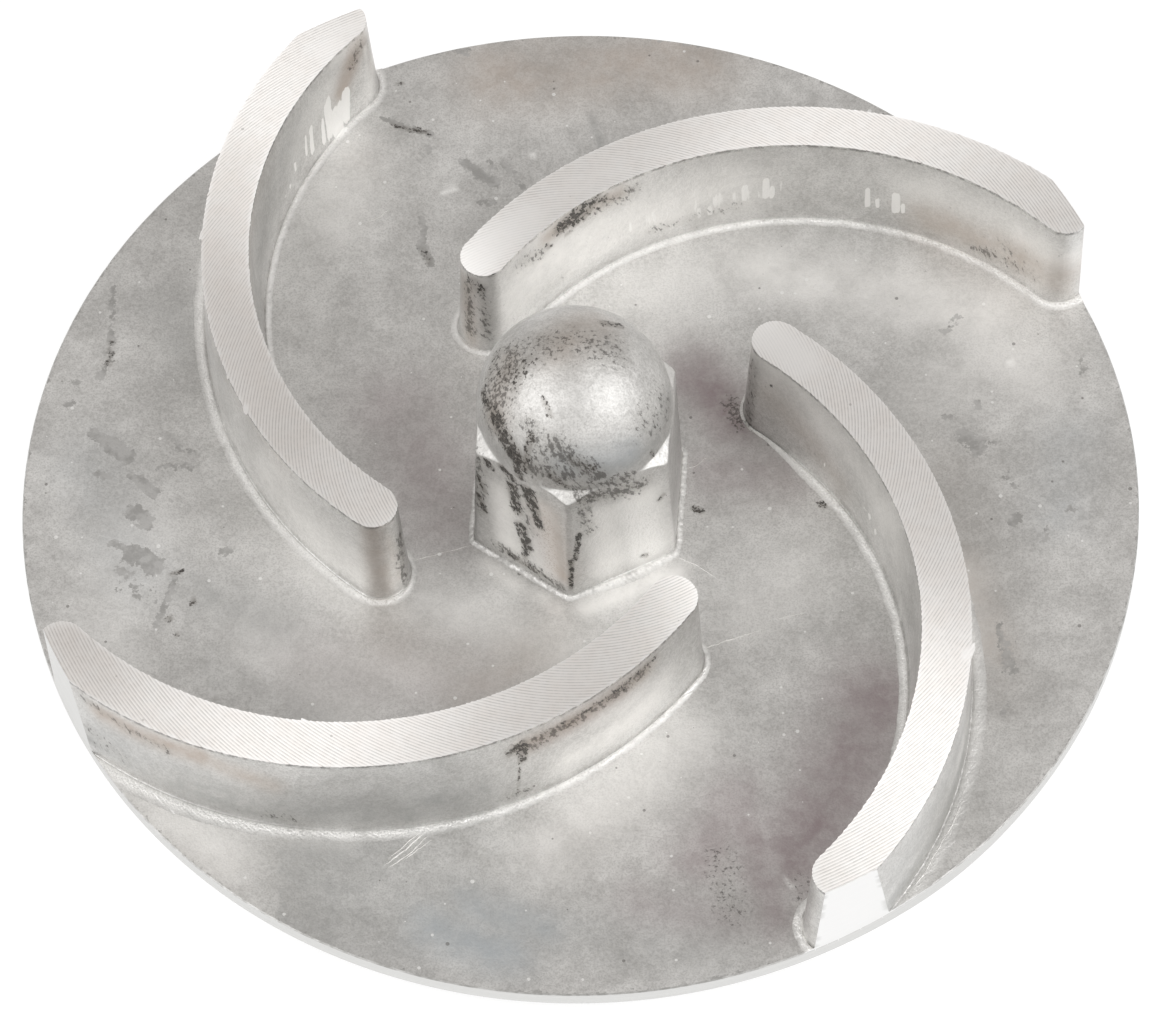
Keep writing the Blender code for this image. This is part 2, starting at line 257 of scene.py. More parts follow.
HUB_MARKS = {
    "soot": (
        (-13, -4.6, 22, -13, -5, 19, 0.7, 0.7), (-12.2, -6, 18.6, -11.6, -6.8, 16.6, 0.6, 0.7),
        (-8.7, -1, 34.2, -6.7, -1.7, 35.8, 1.25, 0.5), (-7.2, -3.4, 35, -5.5, -0.4, 36.5, 1, 0.42),
        (-9.4, 2.6, 33, -10.6, -0.6, 31.6, 1.2, 0.5), (-11.3, -1.2, 30.4, -10.9, -2.7, 30.7, 0.9, 0.85),
        (-10.6, -3.2, 31, -9.8, -5, 31.4, 0.7, 0.7), (-9.8, -5.2, 31.2, -8.8, -7.5, 30, 1.35, 1),
        (-8.8, -7.5, 30.2, -7.6, -9.2, 28.6, 1.45, 1), (-7.6, -9.4, 28.4, -7.2, -10.1, 25, 0.75, 0.85),
        (-5.6, -8.8, 32.2, -6.2, -9.8, 29.4, 0.65, 0.75), (-6.2, -9.8, 29.4, -6.6, -10.4, 27.2, 0.6, 0.8),
        (-4, -5.7, 35.8, -3.1, -7.6, 34.8, 0.45, 0.62), (3.5, 4.6, 36, 5.6, 4.8, 34.8, 0.7, 0.8),
        (1.2, -11.7, 29.2, -0.6, -11.4, 30.4, 1.2, 0.52), (-3.4, -11.6, 27.9, -1.6, -12.2, 26, 0.6, 0.6),
        (8.8, -8.1, 26.6, 9.2, -8, 25.4, 0.45, 0.7), (-11.2, -6.8, 23.6, -10.7, -7.4, 22.9, 0.65, 1),
        (-9.4, -8.3, 24.6, -8.1, -9.2, 23.6, 0.8, 1), (-8.2, -9.2, 21.6, -7.9, -9.7, 16.6, 0.95, 0.95),
        (-6.4, -10.5, 22.8, -5.7, -11.2, 19, 1.15, 1), (-5.7, -11.2, 19, -5.1, -11.8, 16, 0.85, 0.9),
        (-7.4, -10.2, 13.6, -6.8, -10.8, 9.6, 1, 1), (-6.8, -10.8, 9.6, -7.3, -10.8, 7, 0.7, 0.75),
        (-12.5, -6.4, 15, -11.8, -7, 12.2, 0.62, 0.85), (-10.7, -8.6, 10.4, -10.3, -9, 8.6, 0.5, 0.8),
        (-9, -9.5, 5.2, -5.2, -12.4, 4.9, 0.8, 0.55), (-0.3, -13.6, 17, -0.8, -14.1, 11.6, 0.48, 0.85),
        (-1.3, -14.3, 11.8, -1.5, -14.7, 5.6, 0.4, 0.85), (9.7, -9.2, 16.9, 10.2, -8.9, 17.8, 0.45, 0.8),
        (7.5, -10.6, 6.2, 8, -10.4, 5.8, 0.45, 0.8),
    ),
    # the stroke at the hexagon's foot is painted shade in the crease; the rest is dirt
    "grime_and_painted_crease_shade": (
        (-12, -5.8, 23, -12.6, -5.8, 12, 1.4, 0.7), (-8.6, -9.4, 22, -6.4, -11.4, 14, 1.2, 0.5),
        (0.2, -13.2, 22, 1, -13, 16.5, 1, 0.6), (-7.4, 0, 34.8, -9.6, -4, 31.4, 3.2, 0.85),
        (-6.4, -9.8, 28.2, -1, -11.4, 28, 2, 0.9), (-3, -9.9, 32, 2, -11.8, 28, 1.7, 1),
        (-2.6, -11.4, 27, 5.4, -10.8, 25.2, 1.3, 0.95), (-5.6, -7.6, 33.2, -4.2, -9.4, 30.8, 1.6, 0.7),
        (-4.5, 1.2, 36.9, 4.3, 0.2, 36.8, 2.6, 0.55), (8, -6, 31, 10.6, -3, 30, 3.2, 0.42),
        (-10.4, -8.8, 5.8, -3, -13.6, 5, 1.1, 1), (0.4, -12.4, 24.4, 7.3, -10.2, 21.9, 1.6, 1),
    ),
    # painted shade: dims the dome's highlight and darkens the lower dome and one side face
    "shade": (
        (3.4, -5.2, 35.8, 4.6, -5.8, 35.4, 3, 0.25), (-2, -11, 29.6, 3, -11.6, 28.4, 2, 0.5),
        (3, -11.4, 27.2, 9.4, -7.6, 27.4, 2.3, 0.6), (9.6, -6.6, 29, 11.2, -1.6, 29, 2.2, 0.45),
        (-10.4, -4.6, 28.4, -7.6, -8.6, 27.6, 2.6, 0.45), (-13.2, -4.4, 18, -13.8, -4.6, 8, 3, 0.55),
    ),
    "brown": (
        (-2, 1, 37.6, 2, 4, 36.8, 3.4, 0.62), (-8, 0, 34.5, -9.5, -5, 31, 2.4, 0.55),
        (-4.3, -12.2, 20, -3, -13.6, 8, 2, 1),
    ),
    "purple": ((-4.6, -12, 16, -3.4, -13.4, 7, 1.8, 0.45),),
    # painted reflection: a cool grey on the lower front of the dome
    "blue_tint_and_painted_reflection": ((-1, -10.8, 30, 6, -9.8, 29.4, 2.3, 0.75),),
    "pale": (
        (-9.8, -8.6, 19, -9.2, -9.6, 8, 2.2, 0.9), (3, -12.6, 19, 3.4, -12.6, 8, 3, 1),
        (7.6, -10.4, 19, 8.2, -10.4, 8, 3.2, 1),
    ),
    "bright_metal_and_painted_highlight": (
        (7, -10.9, 18.6, 8.2, -10.6, 7, 3.2, 0.75), (-10.2, -8.6, 18, -9.8, -9.2, 8, 1.6, 0.5),
        (-4.8, -12.4, 20, -4.6, -12.8, 6, 2, 0.5), (2.4, -13, 19, 3.4, -12.8, 7, 2.2, 0.35),
    ),
}

VANE_MARKS = {
    # by vane and layer
    (1, "fleck"): (
        (-29.1, 56.8, 6.8, -28.9, 57.7, 12, 0.85, 1), (-31.3, 54.3, 6.8, -31.1, 55, 13.6, 0.75, 1),
        (-32.1, 53.3, 6.8, -32, 53.8, 11.2, 0.45, 1), (-30.2, 55.8, 6.6, -30.1, 56, 10.2, 1.4, 1),
        (-33.6, 51.2, 8, -33.5, 51.6, 12.6, 0.5, 1), (-34.3, 50.1, 9.4, -34.2, 50.5, 12.2, 0.34, 0.9),
        (-35.6, 47.4, 9, -35.6, 47.5, 10.6, 0.34, 0.9), (-36.2, 46.2, 8.2, -37.6, 43, 8.2, 0.34, 0.5),
    ),
    # strokes across the top at 20.4 mm are a painted highlight on the turned top; the rest mark bright
    # metal
    (1, "bright_metal_and_painted_highlight"): (
        (-30, 58.4, 20.4, -26.2, 61, 20.4, 2.6, 0.5), (-26.4, 61.4, 17, -26.6, 61, 9, 0.6, 0.9),
        (-40.9, 4.2, 20.4, -40.7, 4.4, 20.4, 0.4, 1),
    ),
    (1, "grime_and_painted_crease_shade"): (
        (-26.9, 60.4, 18, -27.6, 59.2, 16, 0.9, 0.8), (-22.2, -12, 15, -22.2, -12.6, 5.6, 1, 0.8),
    ),
    # painted shade on the wall
    (1, "shade"): ((-36, 47, 15, -40, 34, 12, 4.5, 0.3),),
    (1, "brown"): (
        (-24, -12.6, 17, -23.4, -12.6, 7, 0.9, 0.8), (-42.5, 40.6, 20.4, -44.6, 24, 20.4, 4.5, 0.34),
        (-44.2, 23.1, 20.4, -35, 0, 20.4, 4.5, 0.34), (-27, 60.2, 18.4, -29.4, 57.4, 13, 1.7, 1),
        (-25.6, -14.6, 19, -24.8, -15, 6, 1.8, 0.9),
    ),
    (1, "purple"): ((-27.4, 59.8, 17.6, -29, 57.8, 13.6, 1.5, 0.45),),
    (1, "pale"): (
        (-30, 55, 15, -34, 48, 13, 3, 0.6), (-24.4, 62.6, 15, -26, 61, 8, 1.4, 0.8),
        (-38, 0, 12, -28, -12.6, 10, 4.5, 0.7),
    ),
    (1, "soot"): (
        (-22.6, -11.8, 13, -22.3, -12, 5, 0.5, 0.6), (-24.6, -14.6, 18, -24, -14.6, 12, 0.5, 0.5),
    ),
    (2, "soot"): (
        (-1, 31, 18.2, 1.8, 33, 18.8, 1.5, 1), (1.4, 32.8, 18.4, 3.4, 34, 19.4, 0.9, 0.9),
        (1.8, 32.8, 16.6, 3.6, 34, 18.8, 0.35, 0.8), (3.4, 33.8, 16.8, 5, 34.8, 18.6, 0.3, 0.7),
        (2.4, 33.2, 17.6, 4.8, 34.8, 19.2, 0.35, 0.8), (-0.6, 31.2, 16, 1, 32.4, 16.6, 0.4, 0.7),
        (3.4, 33.9, 19.2, 4.6, 34.6, 18.6, 0.5, 0.6), (-3.2, 29.2, 16.4, -2.7, 29.6, 16, 0.5, 0.8),
        (-4.8, 28.4, 12, -4.2, 28.8, 10.8, 0.5, 0.6), (-12.4, 22.4, 18.8, -11.8, 22.2, 17.2, 1.1, 0.6),
        (66, 21, 18.6, 66.2, 20.6, 15, 0.5, 0.45), (68.6, 17.6, 20.2, 68, 18.4, 19.9, 0.5, 0.9),
    ),
    (2, "fleck"): (
        (8, 35.6, 10, 24, 40.4, 10, 1.8, 0.34), (27, 40.4, 12, 44, 37, 12, 1.6, 0.26),
        (25.3, 40.4, 13, 25.4, 40.2, 9.6, 0.45, 1), (26.2, 40.5, 11.6, 26.2, 40.3, 9.4, 0.35, 0.9),
        (24.4, 40.2, 11, 24.5, 40, 9.4, 0.3, 0.8), (22.6, 40.2, 12, 22.6, 40, 9.4, 0.35, 0.9),
        (38.4, 39.1, 12.2, 38.5, 38.8, 9.4, 0.4, 0.9), (39.6, 38.7, 10.8, 39.7, 38.4, 9.4, 0.35, 0.8),
        (41.9, 38, 12.4, 42.1, 37.7, 9.2, 0.55, 1), (42.9, 37.4, 10.8, 43, 37.3, 9.2, 0.4, 0.9),
        (18, 39.5, 9.6, 18.1, 39.3, 7.8, 0.4, 0.9), (16.6, 39.2, 9.4, 16.7, 39.1, 7.8, 0.35, 0.8),
        (61, 27.6, 17.6, 61.1, 27.4, 15.6, 0.4, 0.8),
    ),
    # partly dirt, partly painted shade: the strokes low on the wall darken the crease at its foot
    (2, "grime_and_painted_crease_shade"): (
        (-13.4, 22.8, 19, -13.4, 22.6, 7, 0.9, 0.9), (-11.4, 22.2, 18, -11.2, 22, 7, 0.7, 0.7),
        (-7, 26.6, 18, -4.4, 28.6, 16, 1.2, 0.8), (-6.6, 27, 8, -2, 30.4, 7.6, 0.8, 0.6),
        (10, 37, 7.8, 22, 40.2, 8.4, 0.7, 0.5), (-1, 31, 18, 8, 36.2, 17.4, 1.5, 0.62),
        (52, 33, 7.6, 60, 27.6, 8.6, 1.2, 0.6), (64.6, 23.2, 19, 66.4, 20.6, 12, 1.6, 0.6),
        (56, 31, 11, 61, 27.6, 12, 1.4, 0.5),
    ),
    # painted shade down the wall near the rim
    (2, "shade"): ((66.6, 20.6, 19, 66.9, 20, 8, 1.2, 0.7),),
    (2, "brown"): (
        (-13.4, 23.6, 18, -13.4, 22.6, 6, 1.5, 0.6), (-3, 29.6, 18.4, 6, 35.4, 18.4, 1.6, 0.7),
        (46, 36, 9, 62, 26.5, 11, 3.5, 0.7),
    ),
    (2, "pale"): (
        (0, 32, 9, 16, 39, 9, 3, 1), (-8, 26.4, 13, 20, 39.6, 12, 6.5, 1), (58, 30, 15, 64, 25, 14, 4, 0.8),
        (44, 37, 15, 58, 30, 16, 4, 0.6),
    ),
    # painted highlight: brightens the turned top near the nose
    (2, "bright_metal_and_painted_highlight"): (
        (-12.6, 24.2, 20.4, -8, 28.6, 20.4, 2.9, 0.75), (-12.4, 24.4, 20.4, -5, 31, 20.4, 2.8, 0.7),
        (-5, 31, 20.4, 5.9, 37.8, 20.4, 2.4, 0.3),
    ),
    (3, "soot"): ((24.6, 8, 15.6, 26.2, 6.6, 15.4, 0.6, 0.55), (21, 9.4, 9.6, 20.9, 9, 5.6, 0.75, 0.62)),
    (3, "fleck"): (
        (28.4, 2.6, 9.6, 30.6, 0.2, 8.6, 0.34, 0.5), (34.4, -6, 10.6, 35.4, -7.8, 9.6, 0.4, 0.62),
        (35.4, -7.8, 10, 36.6, -10, 8.4, 0.45, 0.62), (38.4, -16, 9.2, 39.2, -19.6, 8.4, 0.34, 0.5),
    ),
    # the first stroke is a painted highlight on the turned top near the nose; the others mark bright metal
    (3, "bright_metal_and_painted_highlight"): (
        (23.6, 12.4, 20.4, 28, 8, 20.4, 2.9, 0.75), (45.4, -33.8, 20.5, 45.4, -34.6, 19.8, 0.7, 1),
        (24, -61, 6, 24.8, -63.4, 6, 0.8, 0.9),
    ),
    # the strokes along the wall's foot are painted shade in the crease; the upright one is dirt
    (3, "grime_and_painted_crease_shade"): (
        (20.9, 9.8, 17, 20.9, 9, 5, 1.3, 0.9), (24, 5.6, 8.6, 30, -2, 6.6, 1, 0.8),
        (30, -2, 6.6, 36, -12, 6.4, 0.9, 0.6),
    ),
    # painted shade: in the crease at the wall's foot near the rim, on the wall above it and on the nose
    (3, "shade"): (
        (47, -30, 8, 45.4, -42, 8, 1.6, 0.7), (45.4, -42, 8, 41.4, -49.8, 8, 1.8, 0.9),
        (41.4, -49.8, 8, 35.4, -59.4, 8, 2, 0.9), (43.6, -42, 15, 35, -58, 13, 3.5, 0.4),
        (20.9, 9.8, 19, 20.9, 9, 5, 1.3, 0.25),
    ),
    (3, "brown"): ((24, 7, 13, 33, -2, 8, 3, 0.35),),
    (3, "pale"): ((23.6, 7, 18, 38, -14, 14, 5, 0.8),),
    (4, "soot"): (
        (-9.4, -43.2, 16.4, -8.2, -42.7, 17.4, 0.6, 0.85), (-7.8, -42.4, 17.8, -8, -42.6, 13.8, 0.75, 0.95),
        (-5.4, -41.4, 17.6, -1, -38.9, 17.9, 0.34, 0.6), (-1, -38.8, 17.9, 3.6, -35.8, 18, 0.38, 0.75),
        (3.4, -35.6, 18.2, 4.4, -35, 17.6, 0.65, 0.85), (4.6, -34.8, 18.2, 8.6, -32, 18.6, 0.7, 0.5),
        (-8.3, -43, 12.6, -8.7, -43.7, 6, 0.3, 0.62),
    ),
    # partly dirt, partly painted shade: the strokes along the wall's foot darken the crease above the bead
    (4, "grime_and_painted_crease_shade"): (
        (-60, -35, 8.6, -36, -46.4, 7.4, 1, 0.5), (-60, -35, 18.6, -50, -41, 16.6, 0.9, 0.6),
        (-62, -33.2, 12, -56, -37.6, 9.6, 1.4, 0.5), (-9, -43, 17, -6, -41.6, 16, 1.2, 0.8),
        (-6, -41.8, 17.2, 7, -33.2, 17.6, 1.2, 1), (-40, -45.8, 7.8, -6, -43, 6.4, 0.8, 0.6),
    ),
    # painted shade: along the wall's foot above the bead and over the lower wall
    (4, "shade"): (
        (-61, -34, 8.8, -44, -44.4, 8, 1.5, 1), (-44, -44.4, 8, -22, -46.2, 7.4, 1.2, 1),
        (-62, -33, 9.4, -40, -45.8, 7.6, 1.7, 0.85), (-40, -45.8, 7.6, -14, -45.6, 6.8, 1.4, 0.7),
        (-48, -43, 10, -14, -45.6, 9, 5, 0.75), (-58, -37, 12, -48, -43, 10, 4, 0.45),
    ),
    (4, "brown"): (
        (-61, -28, 20.4, -57, -34, 20.4, 3.5, 0.36), (-7, -42.2, 17, 7, -33.4, 17.6, 2, 0.9),
        (-58, -36.4, 17.4, -46, -42.6, 18, 2, 1), (-46, -42.6, 18, -38, -45.2, 15, 1.8, 0.7),
    ),
    (4, "purple"): ((-6, -41.6, 16.4, 4, -35.6, 16.8, 1.6, 0.45),),
    (4, "pale"): ((2, -37.6, 14, 9, -31.6, 12, 3, 0.6), (8, -33, 10, -2, -40, 9, 3, 0.8)),
}


def stroke(points, places, half_width, soft):
    """How strongly a stroke between two places marks each point, 0 to 1."""
    start, end = np.reshape(places, (2, -1))
    points = points[:, : len(start)]
    along = end - start
    part = np.clip((points - start) @ along / (along @ along), 0.0, 1.0)
    distance = np.linalg.norm(points - start - part[:, None] * along, axis=1) / half_width
    return np.exp(-(distance**2)) if soft else 1.0 - smooth_step(distance, *CRISP_FADE)


def mark_layers(points, bright_metal_and_painted_highlight, marks):
    """Values per point for every layer."""
    layers = {name: np.zeros(len(points)) for name in SOFT_LAYERS + CRISP_LAYERS}
    layers["bright_metal_and_painted_highlight"] = np.array(bright_metal_and_painted_highlight, float)
    for name, strokes in marks.items():
        for *places, half_width, strength in strokes:
            mark = strength * stroke(points, places, half_width, name in SOFT_LAYERS)
            layers[name] = np.maximum(layers[name], mark)
    return layers


def tide_mark(points):
    """A darker area near the front edge that ends in a wavy line."""
    x, y, _ = points.T
    line = -37.6 + 0.35 * np.sin(y * 0.9) + 0.25 * np.sin(y * 2.3)
    inside = smooth_step(x, line - 0.15, line + 0.35) * (1 - smooth_step(x, -34, -12))
    return inside * smooth_step(-y, 47.0, 50.0)


# Swept surfaces: the disc and the hub

DISC_AZIMUTHS = 720
HUB_AZIMUTHS = 600
FACE_ROWS = 98
DISC_INNER = 12.0
DOME_ROWS = 34
DOME_BASE = 27.5
BORE_ROWS = 10
JOINT_Z = 3.0
BEAD_PROFILE = (
    # out from the wall, up from the face, how bright the metal is: bright metal with a painted highlight
    # along the crest
    (0.00, 0.50, 0.0),
    (0.07, 0.18, 0.0),
    (0.17, 0.09, 0.1),
    (0.30, 0.18, 0.8),
    (0.50, 0.21, 1.0),
    (0.80, 0.15, 0.9),
    (1.10, 0.07, 0.5),
    (1.45, 0.01, 0.0),
    (1.60, -0.5, 0.0),
)
FOOT_RISE = BEAD_PROFILE[0][1]
ROOT_Z = face_height(0.0, HUB_FLATS_ROOT / 2)
HUB_LEVELS = ((DOME_BASE, 25.4, 7), (25.4, 23.7, 20), (23.7, None, 32))  # from, to, rows
ROOT_RAMP = math.radians(-62.0)
ROOT_RAMP_SPREAD = 0.34


def blend_max(first, second, softness):
    """The larger of two values, rounded where they cross."""
    return 0.5 * (first + second + np.sqrt((first - second) ** 2 + softness**2))


def from_corner(azimuth):
    """Angle from the hexagon's nearest corner."""
    return (azimuth - HUB_TURN + math.pi / 6) % (math.pi / 3) - math.pi / 6


def hexagon_radius(azimuth, across_flats):
    """Distance from the hub's centre to its side, with rounded corners."""
    angle = from_corner(azimuth)
    flat = across_flats / 2
    centre = (flat - HUB_CORNER_RADIUS) / math.cos(math.pi / 6)
    tangent = np.arctan2(HUB_CORNER_RADIUS * 0.5, centre + HUB_CORNER_RADIUS * math.cos(math.pi / 6))
    across = centre * np.sin(angle)
    corner = np.sqrt(np.maximum(HUB_CORNER_RADIUS**2 - across**2, 0.0)) + centre * np.cos(angle)
    return np.where(np.abs(angle) < tangent, corner, flat / np.cos(math.pi / 6 - np.abs(angle)))


class Sweep:
    """Rings of points about the axis, joined from each to the next."""

    def __init__(self, count):
        self.azimuths = HUB_TURN + 2 * math.pi * np.arange(count) / count
        self.rings = []

    def ring(self, radius, height, finish, bright_metal_and_painted_highlight=0.0, shift=(0.0, 0.0)):
        """Add a ring; its finish is the face's that leads to it from the last ring."""
        x = radius * np.cos(self.azimuths) + shift[0]
        y = radius * np.sin(self.azimuths) + shift[1]
        z = height(x, y) if callable(height) else np.broadcast_to(height, x.shape)
        self.rings.append((np.stack([x, y, z], axis=1), finish, np.broadcast_to(bright_metal_and_painted_highlight, x.shape)))

    def build(self, name, marks, closed):
        """Join the rings into quads; a closed sweep joins its last ring to its first."""
        points, finishes, bright_metal_and_painted_highlight = zip(*self.rings)
        points, bright_metal_and_painted_highlight = np.concatenate(points), np.concatenate(bright_metal_and_painted_highlight)
        around = len(self.azimuths)
        faces = grid_faces(len(finishes), around, closed, True)
        finishes = np.roll(finishes, -1)[: len(faces) // around]
        layers = mark_layers(points, bright_metal_and_painted_highlight, marks)
        return make_piece(name, points, faces.tolist(), np.repeat(finishes, around), layers)


def hub_radius(azimuths, height):
    """Hub surface at a height, and how much of it is corner chamfer."""
    part = (height - ROOT_Z) / (HUB_TOP - ROOT_Z)
    side = hexagon_radius(azimuths, HUB_FLATS_ROOT + (HUB_FLATS_TOP - HUB_FLATS_ROOT) * part)
    cone = CHAMFER_START_RADIUS + (CHAMFER_START - height) / CHAMFER_SLOPE
    sphere = math.sqrt(max(DOME_RADIUS**2 - (height - DOME_CENTRE) ** 2, 0.0))
    block = -blend_max(-side, -cone, 0.07)
    softness = 0.10 + 0.30 * smooth_step(np.abs(np.degrees(from_corner(azimuths))), 7.0, 15.0)
    chamfer = smooth_step(side - cone, 0.0, 0.12) * smooth_step(cone - sphere, -0.02, 0.10)
    return blend_max(block, sphere, softness), chamfer


def hub_shift(height):
    """The nose sits a little to one side of the hexagon."""
    share = float(smooth_step(height, HUB_LEVELS[-1][0], DOME_BASE))
    return tuple(a + (b - a) * share for a, b in zip(HUB_SHIFT, NOSE_SHIFT))


def add_dome(sweep):
    """The nose, from its top to where the hexagon begins to show."""
    base_angle = math.asin((DOME_BASE - DOME_CENTRE) / DOME_RADIUS)
    for row in range(DOME_ROWS):
        angle = math.pi / 2 + (base_angle - math.pi / 2) * row / DOME_ROWS
        radius = DOME_RADIUS * math.cos(angle) if row else 0.0
        sweep.ring(radius, DOME_CENTRE + DOME_RADIUS * math.sin(angle), CAST, shift=NOSE_SHIFT)


def add_walls(sweep):
    """The foot of the dome, the crumbly corner chamfers and the six uneven drafted faces."""
    across, along = np.cos(sweep.azimuths), np.sin(sweep.azimuths)
    reach = HUB_FLATS_ROOT / 2
    for top, bottom, rows in HUB_LEVELS:
        bottom = ROOT_Z + FOOT_RISE if bottom is None else bottom
        for height in (top + (bottom - top) * row / rows for row in range(rows)):
            radius, chamfer = hub_radius(sweep.azimuths, height)
            crumble = 0.06 * chamfer * rough(0.5, 5, radius * across, radius * along, height)
            dent = 0.05 * rough(5.0, 8, reach * across, reach * along, height)
            radius = radius + dent * smooth_step(HUB_TOP, height, height + 2) + crumble
            sweep.ring(radius, height, CAST, 0.5 * chamfer, hub_shift(height))


def add_root(sweep):
    """The bead at the foot of the hexagon, wider before the near right face."""
    across, along = np.cos(sweep.azimuths), np.sin(sweep.azimuths)
    foot = hexagon_radius(sweep.azimuths, HUB_FLATS_ROOT)
    ripple = rough(2.2, 3, foot * across, foot * along)
    from_ramp = (sweep.azimuths - ROOT_RAMP + math.pi) % (2 * math.pi) - math.pi
    width = 0.58 + 0.12 * ripple + 0.60 * np.exp(-((from_ramp / ROOT_RAMP_SPREAD) ** 2))
    for out, up, bright_metal_and_painted_highlight in BEAD_PROFILE:
        edge = foot + out * width
        crumb = rough(0.42, 4, edge * across, edge * along)
        rise = up * (0.9 + 0.3 * ripple + 0.3 * crumb) if 0 < up < FOOT_RISE else up
        sweep.ring(
            edge + 0.12 * crumb * min(out, 1.0) - 0.10,
            lambda x, y, rise=rise: face_height(x, y) + rise,
            CAST,
            0.9 * bright_metal_and_painted_highlight * smooth_step(crumb + 0.5 * ripple, -0.45, 0.15),
            HUB_SHIFT,
        )


def hub():
    """Nose, hexagon and the upper part of the bore."""
    sweep = Sweep(HUB_AZIMUTHS)
    add_dome(sweep)
    add_walls(sweep)
    add_root(sweep)
    for row in range(BORE_ROWS + 1):
        height = JOINT_Z + (BORE_DEPTH - JOINT_Z) * row / BORE_ROWS
        sweep.ring(BORE_RADIUS, height, BORED if row else CAST)
    point = BORE_RADIUS / math.tan(DRILL_POINT)
    sweep.ring(BORE_RADIUS * 0.5, BORE_DEPTH + point * 0.5, BORED)
    sweep.ring(0.0, BORE_DEPTH + point, BORED)
    piece = sweep.build("impeller_hub", HUB_MARKS, closed=False)
    return close_up(piece, MERGE_DISTANCE, ROUND_PIECE_EDGE)


RIM_EDGE = 0.15
RIM_INNER = OUTER_RADIUS - RIM_EDGE
RIM_BAND_ROWS = 4
RIM_HANG = 0.6
RIM_HANG_AZIMUTH = 309.0
RIM_HANG_SPREAD = 9.0
BACK_ROWS = 20
BACK_FLAT_ROWS = 6
RIM_EDGE_SHADE = 0.45
TIDE_STAIN = 0.6


def add_rim(sweep):
    """The turned rim; its lower edge is the cast back, which hangs a little lower in one place."""
    azimuths = sweep.azimuths
    turn = (np.degrees(azimuths) - RIM_HANG_AZIMUTH + 180.0) % 360.0 - 180.0
    hang = RIM_HANG * np.exp(-((turn / RIM_HANG_SPREAD) ** 2))
    hang = hang + 0.05 * np.sin(azimuths * 5) * np.sin(azimuths * 2)
    sweep.ring(OUTER_RADIUS, RIM_TOP - RIM_EDGE, RIM_CUT)
    sweep.ring(OUTER_RADIUS, RIM_TOP - 2 * RIM_EDGE, RIM_CUT)
    for row in range(1, RIM_BAND_ROWS + 1):
        part = row / RIM_BAND_ROWS
        height = (RIM_TOP - RIM_EDGE) * (1 - part) + (RIM_LOW - hang + RIM_EDGE) * part
        sweep.ring(OUTER_RADIUS, height, RIM_CUT)
    sweep.ring(RIM_INNER, RIM_LOW - hang, RIM_CUT)
    return hang


def add_back(sweep, hang):
    """The cast back cone, its turned flat and the mouth of the bore."""
    for row in range(1, BACK_ROWS + 1):
        part = row / BACK_ROWS
        height = RIM_LOW * (1 - part) - hang * (1 - smooth_step(part, 0.0, 0.2))
        sweep.ring(RIM_INNER + (BACK_FLAT_RADIUS - RIM_INNER) * part, height, CAST)
    mouth = BORE_RADIUS + BORE_CHAMFER
    for row in range(1, BACK_FLAT_ROWS + 1):
        radius = BACK_FLAT_RADIUS + (mouth - BACK_FLAT_RADIUS) * row / BACK_FLAT_ROWS
        sweep.ring(radius, 0.0, TURNED)
    sweep.ring(BORE_RADIUS, BORE_CHAMFER, BORED)
    sweep.ring(BORE_RADIUS, JOINT_Z, BORED)


def disc():
    """The dished plate, which runs in under the hub."""
    sweep = Sweep(DISC_AZIMUTHS)
    for row in range(FACE_ROWS + 1):
        sweep.ring(DISC_INNER + (RIM_INNER - DISC_INNER) * row / FACE_ROWS, face_height, CAST)
    add_back(sweep, add_rim(sweep))
    piece = sweep.build("impeller_disc", PLATE_MARKS, closed=True)
    points = np.array([vertex.co for vertex in piece.data.vertices]) / MM
    x, y, z = points.T
    # A painted shade line along the rim's top edge goes into the smear layer; the tide stain goes into the
    # shade layer.
    edge = (z > RIM_TOP - RIM_EDGE - 0.05) * smooth_step(np.hypot(x, y), RIM_INNER - 0.5, RIM_INNER)
    tide = (z > RIM_LOW + 0.5) * tide_mark(points)
    for layer, values in (("smear", RIM_EDGE_SHADE * edge), ("shade", TIDE_STAIN * tide)):
        field = piece.data.attributes[layer].data
        values = np.maximum([item.value for item in field], values)
        field.foreach_set("value", values.astype(np.float32))
    return close_up(piece, MERGE_DISTANCE, ROUND_PIECE_EDGE)


# Vanes

TOP_COLUMNS = 12
WALL_LEVELS = 20
WALL_SPACING = 0.35
NOSE_STEPS = 12
NOSE_RADIUS = 24.4
FOOT_OFFSET = DRAFT * (VANE_TOP - RIM_TOP)
PLATE_FALL = 1.2
TEAR = 0.16
BEADS = {
    # height, then width and brightness at the nose, beyond it and at the rim; the brightness is partly a
    # painted highlight on the crest
    (1, "convex"): (0.9, (0.70, 1.10, 1.15), (1.0, 0.9, 0.7)),
    (1, "concave"): (0.9, (0.70, 0.45, 1.05), (0.9, 0.4, 1.0)),
    (2, "convex"): (0.9, (0.60, 0.80, 0.80), (0.0, 0.5, 0.6)),
    (2, "concave"): (1.0, (0.60, 0.80, 1.05), (0.9, 0.8, 1.0)),
    (3, "convex"): (0.9, (0.35, 0.60, 1.70), (0.0, 0.4, 0.6)),
    (3, "concave"): (1.2, (0.35, 1.10, 0.90), (0.0, 1.0, 0.8)),
    (4, "convex"): (1.1, (0.70, 0.60, 1.65), (1.0, 0.9, 0.9)),
    (4, "concave"): (0.8, (0.70, 0.70, 0.80), (0.5, 0.6, 0.5)),
}
BEAD_PLACES = (0.03, 0.10, 1.0)
BRIGHT_ENDS = {3: 0.75}
